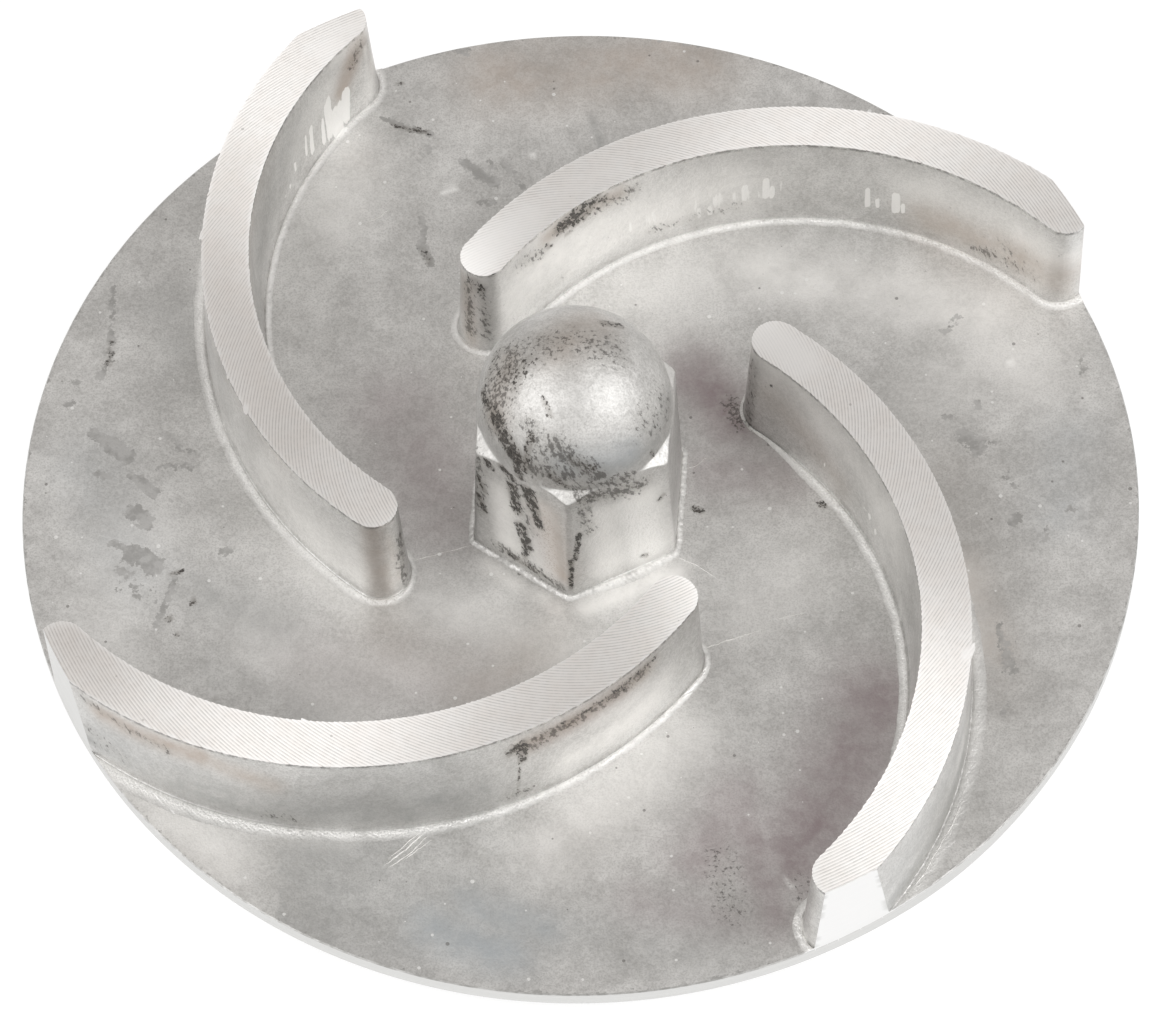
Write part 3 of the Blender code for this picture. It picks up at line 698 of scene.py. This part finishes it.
BURRS = {
    # teeth on the top edge: distance from the axis, how far they stick out, half width
    (3, "convex"): ((56.9, 0.40, 0.42),),
    (1, "convex"): ((55.5, 0.30, 0.30), (41.1, 0.35, 0.30), (44.0, 0.20, 0.15)),
    (4, "concave"): ((52.0, 0.20, 0.20),),
}


def turned_height(radius):
    """Vane top after turning: scallops left by the tool, one per feed, of uneven depth."""
    phase = radius / FEED
    groove = np.floor(phase)
    across = 2.0 * (phase - groove) - 1.0
    depth = GROOVE_DEPTH * (0.8 + 0.2 * np.sin(groove * 12.9898) * np.sin(groove * 4.1))
    return VANE_TOP - depth * (1.0 - across * across)


def crossing(radius, centre, arc_radius, side):
    """Azimuth at which a circle about centre is crossed at a radius from the axis."""
    reach = math.hypot(*centre)
    heading = math.atan2(centre[1], centre[0]) % (2 * math.pi)
    cosine = (radius**2 + reach**2 - arc_radius**2) / (2 * radius * reach)
    return heading + side * np.arccos(np.clip(cosine, -1.0, 1.0))


class VaneSide:
    """One side of a vane's plan outline grown by any offset, along steps from nose to rim."""

    def __init__(self, index, side, steps):
        self.side, self.steps = side, steps
        self.turn = -2 * math.pi * (index - 1) / VANE_COUNT
        back = Matrix.Rotation(-self.turn, 2) @ Vector(CAST_SHIFT)
        self.centre = (VANE_ARC_CENTRE[0] + back.x, VANE_ARC_CENTRE[1] + back.y)
        self.inner = self.on_arc(VANE_INNER_ANGLE, VANE_ARC_RADIUS)
        self.outer = self.on_arc(VANE_OUTER_ANGLE, VANE_ARC_RADIUS)

    def on_arc(self, angle, radius):
        """Point of a circle about the vane's arc centre."""
        x, y = self.centre
        return x + radius * math.cos(angle), y + radius * math.sin(angle)

    def radii(self, offset=0.0):
        """Distances from the axis of the steps, from where the grown outline begins."""
        start = math.hypot(*self.inner) - VANE_HALF - offset
        return start + self.steps * (OUTER_RADIUS - start)

    def azimuths(self, radius, offset):
        """Azimuths of the outline at distances from the axis: an arc between round ends."""
        grown = VANE_HALF + offset
        if self.side == "convex":
            reach, way = VANE_ARC_RADIUS + grown, 1
        else:
            reach, way = VANE_ARC_RADIUS - grown, -1
        arc = crossing(radius, self.centre, reach, 1)
        in_nose = radius < np.hypot(*self.on_arc(VANE_INNER_ANGLE, reach))
        arc = np.where(in_nose, crossing(radius, self.inner, grown, way), arc)
        if self.side == "convex":
            return arc
        in_end = radius > np.hypot(*self.on_arc(VANE_OUTER_ANGLE, reach))
        return np.where(in_end, crossing(radius, self.outer, grown, way), arc)

    def grown(self, offset):
        """Distances and azimuths of the outline grown by an offset that changes along it."""
        least = float(offset[0])
        radius = self.radii(least)
        return radius, self.azimuths(radius, np.maximum(offset, least))

    def place(self, radius, azimuth):
        """Plan position in the part's frame."""
        return radius * np.cos(azimuth + self.turn), radius * np.sin(azimuth + self.turn)


def vane_steps():
    """Fractions along a vane: fine at its round nose, then a few per turning groove."""
    fine = FEED / SAMPLES_PER_GROOVE
    nose = fine * NOSE_STEPS / 2
    length = OUTER_RADIUS - NOSE_RADIUS
    first = (np.arange(NOSE_STEPS) / NOSE_STEPS) ** 2 * nose
    return np.append(np.concatenate([first, np.arange(nose, length, fine)]) / length, 1.0)


def wall_rings(outline, seed, burrs):
    """Rings from a vane's burred top edge down its drafted wall."""
    radius = outline.radii()
    ridge = (VANE_TOP - turned_height(radius)) / GROOVE_DEPTH
    tear = TEAR * (1.0 - ridge) * (0.5 + 0.7 * rough(0.7, seed, radius))
    burr = smooth_step(rough(0.5, seed + 9, radius), -0.5, 0.3)
    for place, out, half_width in burrs:
        tooth = np.exp(-(((radius - place) / half_width) ** 4))
        tear = tear + out * tooth
        burr = np.maximum(burr, tooth)
    rings = [(radius, outline.azimuths(radius, tear), turned_height(radius), 0.9 * burr)]
    for level in range(1, WALL_LEVELS + 1):
        part = level / WALL_LEVELS
        part = part * (WALL_SPACING + (1.0 - WALL_SPACING) * part)
        offset = DRAFT * part * (VANE_TOP - RIM_TOP + PLATE_FALL)
        radius = outline.radii(offset)
        foot = face_height(*outline.place(radius, outline.azimuths(radius, offset))) + FOOT_RISE
        height = turned_height(radius) * (1 - part) + foot * part
        rings.append((*outline.grown(DRAFT * (VANE_TOP - height)), height, np.zeros(len(radius))))
    return rings


def bead_rings(outline, seed, bead):
    """Rings over the bead at a vane's root and on to below the face."""
    tall, widths, bead_brightness = bead
    width = np.interp(outline.steps, BEAD_PLACES, widths)
    bright = np.interp(outline.steps, BEAD_PLACES, bead_brightness)
    rings = []
    for out, up, bright_metal_and_painted_highlight in BEAD_PROFILE[1:]:
        radius = outline.radii(FOOT_OFFSET + out)
        x, y = outline.place(radius, outline.azimuths(radius, FOOT_OFFSET + out * width))
        ripple = rough(2.6, seed + 2, x, y)
        away = out * (width + 0.10 * ripple) - (0.08 if out > 0.3 else 0.0)
        x, y = outline.place(radius, outline.azimuths(radius, FOOT_OFFSET + away))
        crumb = rough(0.45, seed + 4, x, y)
        offset = DRAFT * (VANE_TOP - face_height(x, y)) + away + 0.06 * crumb * min(out, 1.0)
        radius, azimuth = outline.grown(offset)
        rise = up * tall * (1.0 + 0.2 * ripple + 0.14 * crumb) if up > 0 else up
        shine = bright_metal_and_painted_highlight * bright * smooth_step(0.5 * crumb + 0.5 * ripple, -0.8, 0.0)
        rings.append((radius, azimuth, face_height(*outline.place(radius, azimuth)) + rise, shine))
    return rings


def vane_side(index, side):
    """One side of a vane and its rings, from its top edge to below the face."""
    outline = VaneSide(index, side, vane_steps())
    seed = index * 7 + (0 if side == "convex" else 40)
    walls = wall_rings(outline, seed, BURRS.get((index, side), ()))
    return outline, walls + bead_rings(outline, seed, BEADS[index, side])


def section(convex, concave):
    """Rings round a vane: over its top from the concave side, down, and up again."""
    radius, azimuth, height, _ = concave[0]
    part = np.arange(1, TOP_COLUMNS)[:, None] / TOP_COLUMNS
    across = azimuth * (1 - part) + convex[0][1] * part
    top = [(radius, azimuth, height, np.zeros(len(radius))) for azimuth in across]
    return concave[:1] + top + convex + concave[:0:-1]


def rim_cut(convex, concave, bright):
    """Rings of the end face that the rim's turning leaves, on the rim's own cylinder."""
    part = np.arange(TOP_COLUMNS + 1) / TOP_COLUMNS
    rings = []
    for (_, right, right_height, _), (_, left, left_height, _) in zip(convex, concave):
        azimuth = left[-1] * (1 - part) + right[-1] * part
        height = left_height[-1] * (1 - part) + right_height[-1] * part
        rings.append((OUTER_RADIUS, azimuth, height, np.full(len(part), bright)))
    return rings


def vane(index):
    """One vane: turned top, drafted cast walls, root bead, and the rim's cut across its end."""
    outline, convex = vane_side(index, "convex")
    _, concave = vane_side(index, "concave")
    walls = section(convex, concave)
    ends = rim_cut(convex, concave, BRIGHT_ENDS.get(index, 0.0))
    points, bright_metal_and_painted_highlight = [], []
    for radius, azimuth, height, bright in walls + ends:
        points.append(np.stack([*outline.place(radius, azimuth), height], axis=1))
        bright_metal_and_painted_highlight.append(bright)
    points, bright_metal_and_painted_highlight = np.concatenate(points), np.concatenate(bright_metal_and_painted_highlight)
    wall_faces = grid_faces(len(walls), len(outline.steps), close_rows=True)
    end_faces = grid_faces(len(ends), TOP_COLUMNS + 1) + len(walls) * len(outline.steps)
    top_faces = TOP_COLUMNS * (len(outline.steps) - 1)
    counts = (top_faces, len(wall_faces) - top_faces, len(end_faces))
    finishes = np.repeat((TURNED, CAST, RIM_CUT), counts)
    marks = {layer: strokes for (number, layer), strokes in VANE_MARKS.items() if number == index}
    layers = mark_layers(points, bright_metal_and_painted_highlight, marks)
    faces = np.concatenate([wall_faces, end_faces]).tolist()
    piece = make_piece(f"vane_{index}", points, faces, finishes, layers)
    return close_up(piece, MERGE_DISTANCE, VANE_EDGE)


# Thin raised lines: flash left at the mould's joints, and scratches

RIDGES = (
    # plan points along the line, half width, height
    (((-22.0, -9.3), (-18.6, -8.3), (-16.4, -7.7), (-13.6, -6.9)), 0.07, 0.10),
    (((11.6, -9.6), (14.2, -11.0), (16.9, -13.3)), 0.08, 0.12),
    (((-16.6, 9.8), (-14.8, 9.2), (-12.4, 8.0)), 0.07, 0.10),
    (((12.6, 3.0), (14.6, 3.4), (16.2, 4.6), (17.8, 4.6)), 0.06, 0.10),
    (((14.0, -23.4), (17.4, -22.2), (21.8, -20.9)), 0.09, 0.12),
    (((-25.0, -52.0), (-22.4, -49.8), (-19.4, -47.0)), 0.22, 0.16),
    (((-24.6, -52.4), (-22.2, -50.6), (-19.6, -48.0)), 0.16, 0.13),
    (((-24.6, -51.2), (-22.0, -48.8), (-20.0, -47.0)), 0.13, 0.12),
    (((-22.8, -51.4), (-21.0, -49.9), (-19.2, -48.6)), 0.10, 0.10),
    (((24.0, -19.4), (27.6, -18.6)), 0.05, 0.06),
    (((45.6, -44.2), (42.9, -50.0), (39.4, -55.8), (37.2, -58.8)), 0.34, 0.26),
    (((-26.2, 41.6), (-24.8, 42.3), (-23.6, 43.4)), 0.14, 0.12),
)
RIDGE_STEPS = 10
RIDGE_FOOT = -0.25
RIDGE_MERGE = 0.0005
RIDGE_EDGE = 30.0


def ridge_points(nodes, half_width, tall):
    """Threes of points, left foot, crest and right foot, along a line on the front face."""
    nodes = np.array(nodes)
    last = len(nodes) - 1
    place = np.linspace(0, last, RIDGE_STEPS * last + 1)
    x, y = (np.interp(place, range(last + 1), column) for column in nodes.T)
    wander = 0.10 * rough(1.2, 9, x, y)
    x, y = x + wander, y - wander
    run = np.stack([np.gradient(x), np.gradient(y)])
    run /= np.linalg.norm(run, axis=0)
    taper = np.minimum(1.0, 4.0 * np.minimum(place, last - place) / last + 0.15)
    width = half_width * taper * (1.0 + 0.3 * rough(0.5, 6, x, y))
    face = face_height(x, y)
    crest = (x, y, face + tall * taper)
    feet = [
        (x - run[1] * side * width, y + run[0] * side * width, face + RIDGE_FOOT) for side in (-1, 1)
    ]
    return np.transpose([feet[0], crest, feet[1]], (2, 0, 1)).reshape(-1, 3)


def flash_lines():
    """All the thin ridges as one piece of closed strips of bright metal."""
    points, faces = [], []
    for ridge in RIDGES:
        first = sum(map(len, points))
        points.append(ridge_points(*ridge))
        last = first + len(points[-1]) - 3
        for here in range(first, last, 3):
            for side, other in ((0, 1), (1, 2), (2, 0)):
                faces.append((here + side, here + other, here + 3 + other, here + 3 + side))
        faces += [(first, first + 2, first + 1), (last, last + 1, last + 2)]
    points = np.concatenate(points)
    layers = {"bright_metal_and_painted_highlight": np.ones(len(points))}
    piece = make_piece("flash_lines", points, faces, np.full(len(faces), CAST), layers)
    return close_up(piece, RIDGE_MERGE, RIDGE_EDGE)


# Finishes

CAST_DARK = (0.56, 0.555, 0.54)
CAST_LIGHT = (0.735, 0.73, 0.715)
CAST_BLOTCH = (0.46, 0.455, 0.445)
CAST_GRAIN = (0.88, 0.87, 0.86)
CAST_PIT = (0.30, 0.29, 0.28)
CAST_ROUGHNESS = 0.52
CAST_METALLIC = 0.95
HUB_ROUGHNESS = 0.585
HUB_RELIEF = 1.8
BRIGHT_METAL = (0.95, 0.945, 0.93)
SMEAR_DARK = (0.36, 0.355, 0.345)
SMEAR_LIGHT = (0.52, 0.515, 0.505)
DIRT_DARK = (0.012, 0.010, 0.008)
DIRT_LIGHT = (0.09, 0.08, 0.07)
DIRT_TILT = math.radians(-24.0)
TINTS = (
    # layer, colour that the metal turns to
    ("pale", (0.93, 0.92, 0.90)),
    # painted shade: a grey put into creases, along wall feet, on the plate's front, on the lower dome and
    # over the dome's highlight; it also darkens the tide stain
    ("shade", (0.36, 0.365, 0.36)),
    # a cool grey tint, which on the lower front of the dome is a painted reflection
    ("blue_tint_and_painted_reflection", (0.47, 0.50, 0.52)),
    ("purple", (0.355, 0.29, 0.30)),
    ("brown", (0.50, 0.43, 0.375)),
)
TURNED_ROUGHNESS = 0.52
TURNED_METALLIC = 0.80
RIM_DARK = (0.66, 0.66, 0.65)
RIM_LIGHT = (0.69, 0.69, 0.68)
BORE_DARK = (0.62, 0.61, 0.60)
BORE_LIGHT = (0.78, 0.775, 0.77)


class Graph:
    """One material's nodes, added and linked a node at a time."""

    def __init__(self, name):
        self.material = bpy.data.materials.new(name)
        self.material.use_nodes = True
        self.tree = self.material.node_tree
        self.tree.nodes.clear()
        self.place = self.add("ShaderNodeTexCoord").outputs["Object"]

    def add(self, kind, inputs=None, **settings):
        """A node with its settings and its inputs, each a value or a socket."""
        node = self.tree.nodes.new(kind)
        for key, value in settings.items():
            setattr(node, key, value)
        for key, value in (inputs or {}).items():
            if isinstance(value, bpy.types.NodeSocket):
                self.tree.links.new(value, node.inputs[key])
            else:
                node.inputs[key].default_value = value
        return node

    def noise(self, size, detail=2.0, roughness=0.5, seed=0.0, stretch=(1, 1, 1), tilt=0.0):
        """Noise in 0..1 whose lumps are about size millimetres, drawn out along x, y and z."""
        place = {
            "Vector": self.place,
            "Location": (seed, seed * 0.7, seed * 1.3),
            "Rotation": (0.0, tilt, 0.0),
            "Scale": stretch,
        }
        place = self.add("ShaderNodeMapping", place, vector_type="TEXTURE").outputs[0]
        grain = {"Scale": 1.0 / (size * MM), "Detail": detail, "Roughness": roughness}
        return self.add("ShaderNodeTexNoise", {"Vector": place, **grain}).outputs[0]

    def maths(self, operation, *values):
        """A Math node's result."""
        return self.add("ShaderNodeMath", dict(enumerate(values)), operation=operation).outputs[0]

    def times(self, first, second):
        """Two values multiplied."""
        return self.maths("MULTIPLY", first, second)

    def ramp(self, value, start, end, low=0.0, high=1.0):
        """value eased from low to high as it goes from start to end."""
        inputs = {"Value": value, "From Min": start, "From Max": end, "To Min": low, "To Max": high}
        return self.add("ShaderNodeMapRange", inputs, interpolation_type="SMOOTHSTEP").outputs[0]

    def mix(self, factor, first, second):
        """Blend of two colours."""
        inputs = {"Factor": factor}
        for key, colour in ((6, first), (7, second)):
            inputs[key] = (*colour, 1.0) if isinstance(colour, tuple) else colour
        return self.add("ShaderNodeMix", inputs, data_type="RGBA").outputs[2]

    def layer(self, name):
        """A value that the mesh carries per point."""
        return self.add("ShaderNodeAttribute", attribute_name=name).outputs["Fac"]

    def ragged_mask(self, layer, noise, reach):
        """A layer whose soft edge is torn up by noise."""
        torn = self.maths("MULTIPLY_ADD", self.maths("SUBTRACT", noise, 0.5), reach, layer)
        return self.times(self.ramp(torn, 0.42, 0.60), self.ramp(layer, 0.02, 0.15))

    def specks(self, spacing, size, share, other_share=0.0):
        """Small dots in a share of the cells of a grid, and other dots in other cells."""
        cells = {"Vector": self.place, "Scale": 1.0 / (spacing * MM)}
        cells = self.add("ShaderNodeTexVoronoi", cells).outputs
        colour = self.add("ShaderNodeSeparateColor", {0: cells["Color"]}).outputs
        span = self.maths("MULTIPLY_ADD", colour[1], size, size * 0.4)
        inside = self.maths("LESS_THAN", cells["Distance"], span)
        chosen = self.maths("LESS_THAN", colour[0], share)
        others = self.maths("GREATER_THAN", colour[0], 1.0 - other_share)
        return self.times(chosen, inside), self.times(others, inside)

    def bump(self, height, depth, under=None):
        """Normal for a height field; its depth is in millimetres, or a socket in metres."""
        inputs = {"Height": height, "Distance": depth * MM if isinstance(depth, float) else depth}
        if under is not None:
            inputs["Normal"] = under
        return self.add("ShaderNodeBump", inputs).outputs[0]

    def metal(self, inputs):
        """The shader and the output."""
        shader = self.add("ShaderNodeBsdfPrincipled", inputs)
        self.add("ShaderNodeOutputMaterial", {0: shader.outputs[0]})
        return self.material


class CastSkin(Graph):
    """As-cast aluminium: satin grey with clouds, grain, stains, dirt, painted shade and a painted
    reflection, and bright beads that carry a painted highlight.
    """

    def __init__(self, name, used):
        super().__init__(name)
        self.used = used
        self.clouds = self.noise(9.0, 4.0, 0.62)
        self.blotches = self.noise(2.4, 3.0, 0.64, seed=8.0)
        self.grain = self.noise(0.60, 2.0, 0.65, seed=2.0)
        self.fine = self.noise(0.24, 1.0, 0.6, seed=7.0)
        self.ragged = self.noise(0.9, 3.0, 0.70, seed=11.0)
        self.brushed = self.noise(0.50, 3.0, 0.68, seed=6.0, stretch=(1.0, 1.0, 2.4), tilt=DIRT_TILT)
        self.base = self.mix(self.ramp(self.clouds, 0.33, 0.67), CAST_DARK, CAST_LIGHT)

    def cover(self, colour, mask, strength=1.0):
        """Turn the metal to a colour where the mask is set."""
        mask = mask if strength == 1.0 else self.times(mask, strength)
        self.base = self.mix(mask, self.base, colour)

    def skin(self):
        """Clouds, blotches, grain and pits, then the soft stains with painted shade and a painted
        reflection among them, and fine dark scribbles.
        """
        self.cover(CAST_BLOTCH, self.ramp(self.blotches, 0.42, 0.58, 0.0, 0.20))
        self.cover(CAST_GRAIN, self.ramp(self.grain, 0.34, 0.66, 0.0, 0.30))
        self.cover(CAST_PIT, self.ramp(self.fine, 0.44, 0.66, 0.0, 0.26))
        cloudy = self.ramp(self.clouds, 0.3, 0.7, 0.65, 1.0)
        mottle = self.times(cloudy, self.ramp(self.blotches, 0.35, 0.65, 0.75, 1.0))
        for layer, colour in TINTS:
            if layer in self.used:
                self.cover(colour, self.times(self.layer(layer), mottle))
        scribble = self.times(self.ramp(self.brushed, 0.64, 0.72), self.ramp(self.blotches, 0.5, 0.62))
        self.cover((0.26, 0.25, 0.24), scribble, 0.35)

    def smears(self):
        """Dots, sparks and rubbed grey patches."""
        dots, sparks = self.specks(1.6, 0.12, 0.07, 0.16)
        self.cover((0.16, 0.15, 0.14), dots, 0.6)
        self.cover((0.95, 0.95, 0.94), sparks, 0.7)
        patch = self.mix(self.ramp(self.blotches, 0.4, 0.6), SMEAR_DARK, SMEAR_LIGHT)
        self.cover(patch, self.ragged_mask(self.layer("smear"), self.ragged, 2.2), 0.75)

    def flecks(self):
        """Bright upright scuffs."""
        streaks = self.noise(0.8, 1.0, 0.6, seed=3.0, stretch=(1.0, 1.0, 8.0))
        self.cover(BRIGHT_METAL, self.ragged_mask(self.layer("fleck"), streaks, 1.4), 0.85)

    def dirty(self, dirt):
        """Brown film with dark threads, partly painted shade in creases, and torn soot; gives where the
        soot is.
        """
        grime_and_painted_crease_shade, soot = self.layer("grime_and_painted_crease_shade"), self.layer("soot")
        thread = self.ramp(self.maths("MULTIPLY_ADD", grime_and_painted_crease_shade, 0.22, self.brushed), 0.60, 0.74)
        self.cover((0.24, 0.22, 0.19), grime_and_painted_crease_shade, 0.30)
        self.cover(dirt, self.times(thread, self.ramp(grime_and_painted_crease_shade, 0.02, 0.30)), 0.62)
        self.cover((0.20, 0.18, 0.155), self.ramp(soot, 0.02, 0.9, 0.0, 0.45))
        tear = self.maths("MULTIPLY_ADD", self.brushed, 0.6, self.times(self.ragged, 0.4))
        soot = self.ragged_mask(self.times(soot, 0.68), tear, 3.6)
        self.cover(dirt, soot, 0.92)
        return soot

    def edge_line(self, dirt, bright):
        """Dirt in the corner just under a vane's top edge."""
        height = self.add("ShaderNodeSeparateXYZ", {0: self.place}).outputs[2]
        line = self.ramp(height, (VANE_TOP - 0.8) * MM, (VANE_TOP - 0.25) * MM)
        line = self.times(line, self.ramp(self.ragged, 0.42, 0.58, 0.05, 0.6))
        self.cover(dirt, self.times(line, self.maths("SUBTRACT", 1.0, bright)))


def cast_skin(name, used, roughness=CAST_ROUGHNESS, relief=1.0, edge_line=False):
    """The cast metal of a piece that carries the used layers."""
    graph = CastSkin(name, used)
    graph.skin()
    if "smear" in used:
        graph.smears()
    # bright metal, partly a painted highlight on the bead crests
    bright = graph.times(graph.layer("bright_metal_and_painted_highlight"), graph.ramp(graph.fine, 0.34, 0.54, 0.40, 1.0))
    graph.cover(BRIGHT_METAL, bright)
    if "fleck" in used:
        graph.flecks()
    dirt = graph.mix(graph.ramp(graph.fine, 0.35, 0.65), DIRT_DARK, DIRT_LIGHT)
    soot = graph.dirty(dirt)
    if edge_line:
        graph.edge_line(dirt, bright)
    normal = None
    for texture, clean_depth, depth in ((graph.grain, 0.06, 0.034), (graph.fine, 0.08, 0.014)):
        depth = graph.maths("MULTIPLY_ADD", bright, clean_depth * MM, depth * MM)
        normal = graph.bump(texture, depth, normal)
    return graph.metal({
        "Base Color": graph.base,
        "Metallic": graph.maths("MULTIPLY_ADD", soot, -0.7, CAST_METALLIC),
        "Roughness": graph.ramp(graph.clouds, 0.3, 0.7, roughness - 0.05, roughness + 0.05),
        "Normal": graph.bump(graph.blotches, 0.07 * relief, normal),
    })


def turned_metal():
    """Vane tops and back flat: cut in rings, so the sheen spreads across the grooves."""
    graph = Graph("turned_metal")
    x, y, _ = graph.add("ShaderNodeSeparateXYZ", {0: graph.place}).outputs
    flat = graph.add("ShaderNodeCombineXYZ", {0: x, 1: y}).outputs[0]
    radius = graph.add("ShaderNodeVectorMath", {0: flat}, operation="LENGTH").outputs["Value"]
    radial = graph.add("ShaderNodeVectorMath", {0: flat}, operation="NORMALIZE").outputs[0]
    lines = {"W": radius, "Scale": 7000.0, "Detail": 2.0}
    lines = graph.add("ShaderNodeTexNoise", lines, noise_dimensions="1D").outputs[0]
    groove = graph.maths("COSINE", graph.times(radius, 2 * math.pi / (FEED * MM)))
    smear = graph.noise(3.0, 3.0, 0.6)
    breaks = graph.noise(0.9, 3.0, 0.7, seed=3.0)
    # painted shade: darker lines in the hollows of the turning grooves
    painted_groove_shade = graph.ramp(groove, -0.9, 0.3, 1.0, 0.0)
    painted_groove_shade = graph.times(painted_groove_shade, graph.ramp(breaks, 0.35, 0.65, 0.26, 0.44))
    pits, _ = graph.specks(1.6, 0.10, 0.10)
    base = graph.mix(graph.ramp(smear, 0.3, 0.7), (0.975, 0.945, 0.92), (0.99, 0.975, 0.96))
    base = graph.mix(painted_groove_shade, base, (0.40, 0.39, 0.375))
    base = graph.mix(graph.times(pits, 0.4), base, (0.35, 0.34, 0.32))
    base = graph.mix(graph.times(graph.layer("brown"), 0.6), base, (0.52, 0.47, 0.43))
    return graph.metal({
        # the bright-metal layer here is a painted highlight on parts of the vane tops
        "Base Color": graph.mix(graph.layer("bright_metal_and_painted_highlight"), base, (1.0, 0.99, 0.98)),
        "Metallic": TURNED_METALLIC,
        "Roughness": TURNED_ROUGHNESS,
        "Anisotropic": 0.9,
        "Tangent": radial,
        "Normal": graph.bump(lines, 0.010),
    })


def ringed_metal(name, size, height, dark, light, roughness, depth, marked=False):
    """Metal cut in fine rings one above another, from lumps of a size and height."""
    graph = Graph(name)
    rings = graph.noise(size, stretch=(20.0, 20.0, height))
    base = graph.mix(graph.ramp(rings, 0.35, 0.65), dark, light)
    if marked:
        base = graph.mix(graph.layer("bright_metal_and_painted_highlight"), base, (0.90, 0.90, 0.90))
        # on the rim the smear layer is mostly a painted shade line along its top edge, broken up by noise
        edge_shade_breakup = graph.ramp(graph.noise(2.0, 5.0, 0.7, seed=9.0), 0.35, 0.65, 0.1, 1.3)
        base = graph.mix(graph.times(graph.layer("smear"), edge_shade_breakup), base, (0.22, 0.215, 0.20))
    normal = graph.bump(rings, depth)
    return graph.metal(
        {"Base Color": base, "Metallic": 1.0, "Roughness": roughness, "Normal": normal}
    )


# Stage

FLOOR_SIZE = 3.0
FLOOR_Z = -0.0003
FLOOR_GLOW = 0.75
LIGHTS = (
    # name, share of the light's power, where it comes from
    ("light_right", 1.0, (0.654, -0.306, 0.690)),
    ("light_left", 0.82, (-0.654, -0.306, 0.690)),
)
LIGHT_POWER = 5.0
LIGHT_SIZE = 0.6
LIGHT_DISTANCE = 1.0
ROOM_COLOUR = (1.0, 0.972, 0.945)
ROOM_LIGHT = 0.60
VIEW_ELEVATION = math.radians(59.39)
VIEW_ROLL = math.radians(-1.98)
VIEW_DISTANCE = 562.5
VIEW_TARGET = (-0.07, -3.88, RIM_TOP)
LENS = 139.48
SENSOR_WIDTH = 36.0


def floor():
    """A plain pale floor under the part, in metres."""
    mesh = bpy.data.meshes.new("floor")
    corners = ((-1, -1), (1, -1), (1, 1), (-1, 1))
    points = [(FLOOR_SIZE * x, FLOOR_SIZE * y, FLOOR_Z) for x, y in corners]
    mesh.from_pydata(points, [], [(0, 1, 2, 3)])
    graph = Graph("floor_white")
    mottle = graph.noise(300.0, 2.0, 0.5)
    mesh.materials.append(graph.metal({
        "Base Color": graph.mix(mottle, (0.29, 0.29, 0.29), (0.31, 0.31, 0.31)),
        "Roughness": 0.9,
        "Emission Color": (1.0, 1.0, 1.0, 1.0),
        "Emission Strength": FLOOR_GLOW,
    }))
    put("floor", mesh)


def studio():
    """Two square soft lights in front, left and right, in a pale room."""
    for name, share, direction in LIGHTS:
        light = bpy.data.lights.new(name, "AREA")
        light.shape = "SQUARE"
        light.size = LIGHT_SIZE
        light.energy = LIGHT_POWER * share
        aim = Vector(direction).normalized()
        lamp = put(name, light)
        lamp.location = aim * LIGHT_DISTANCE
        lamp.rotation_euler = aim.to_track_quat("Z", "Y").to_euler()
    world = bpy.data.worlds.new("room")
    world.use_nodes = True
    background = world.node_tree.nodes["Background"]
    background.inputs["Color"].default_value = (*ROOM_COLOUR, 1.0)
    background.inputs["Strength"].default_value = ROOM_LIGHT
    bpy.context.scene.world = world
    bpy.context.scene.view_settings.view_transform = "Standard"


def camera():
    """The photograph's view: from in front, well above, with a slight roll."""
    back = Vector((0.0, -math.cos(VIEW_ELEVATION), math.sin(VIEW_ELEVATION)))
    roll = Matrix.Rotation(VIEW_ROLL, 3, back)
    right = roll @ Vector((1.0, 0.0, 0.0))
    turn = Matrix((right, back.cross(right), back)).transposed().to_4x4()
    place = (Vector(VIEW_TARGET) + back * VIEW_DISTANCE) * MM
    lens = bpy.data.cameras.new("camera")
    lens.lens = LENS
    lens.sensor_width = SENSOR_WIDTH
    lens.clip_start = 0.01
    eye = put("camera", lens)
    eye.matrix_world = Matrix.Translation(place) @ turn
    bpy.context.scene.camera = eye


def build():
    """Model the part's surfaces, finish them and light them."""
    vane_layers = {layer for _, layer in VANE_MARKS}
    cut = [
        turned_metal(),
        ringed_metal("rim_metal", 1.2, 0.17, RIM_DARK, RIM_LIGHT, 0.45, 0.01, marked=True),
        ringed_metal("bored_metal", 0.4, 1.0, BORE_DARK, BORE_LIGHT, 0.38, 0.02),
    ]
    plate_skin = cast_skin("cast_plate", PLATE_MARKS)
    vane_skin = cast_skin("cast_vane", vane_layers, edge_line=True)
    hub_skin = cast_skin("cast_hub", HUB_MARKS, HUB_ROUGHNESS, HUB_RELIEF)
    finish_piece(disc(), [plate_skin] + cut)
    finish_piece(hub(), [hub_skin] + cut)
    for index in range(1, VANE_COUNT + 1):
        finish_piece(vane(index), [vane_skin] + cut)
    finish_piece(flash_lines(), [plate_skin])
    floor()
    studio()
    camera()


build()
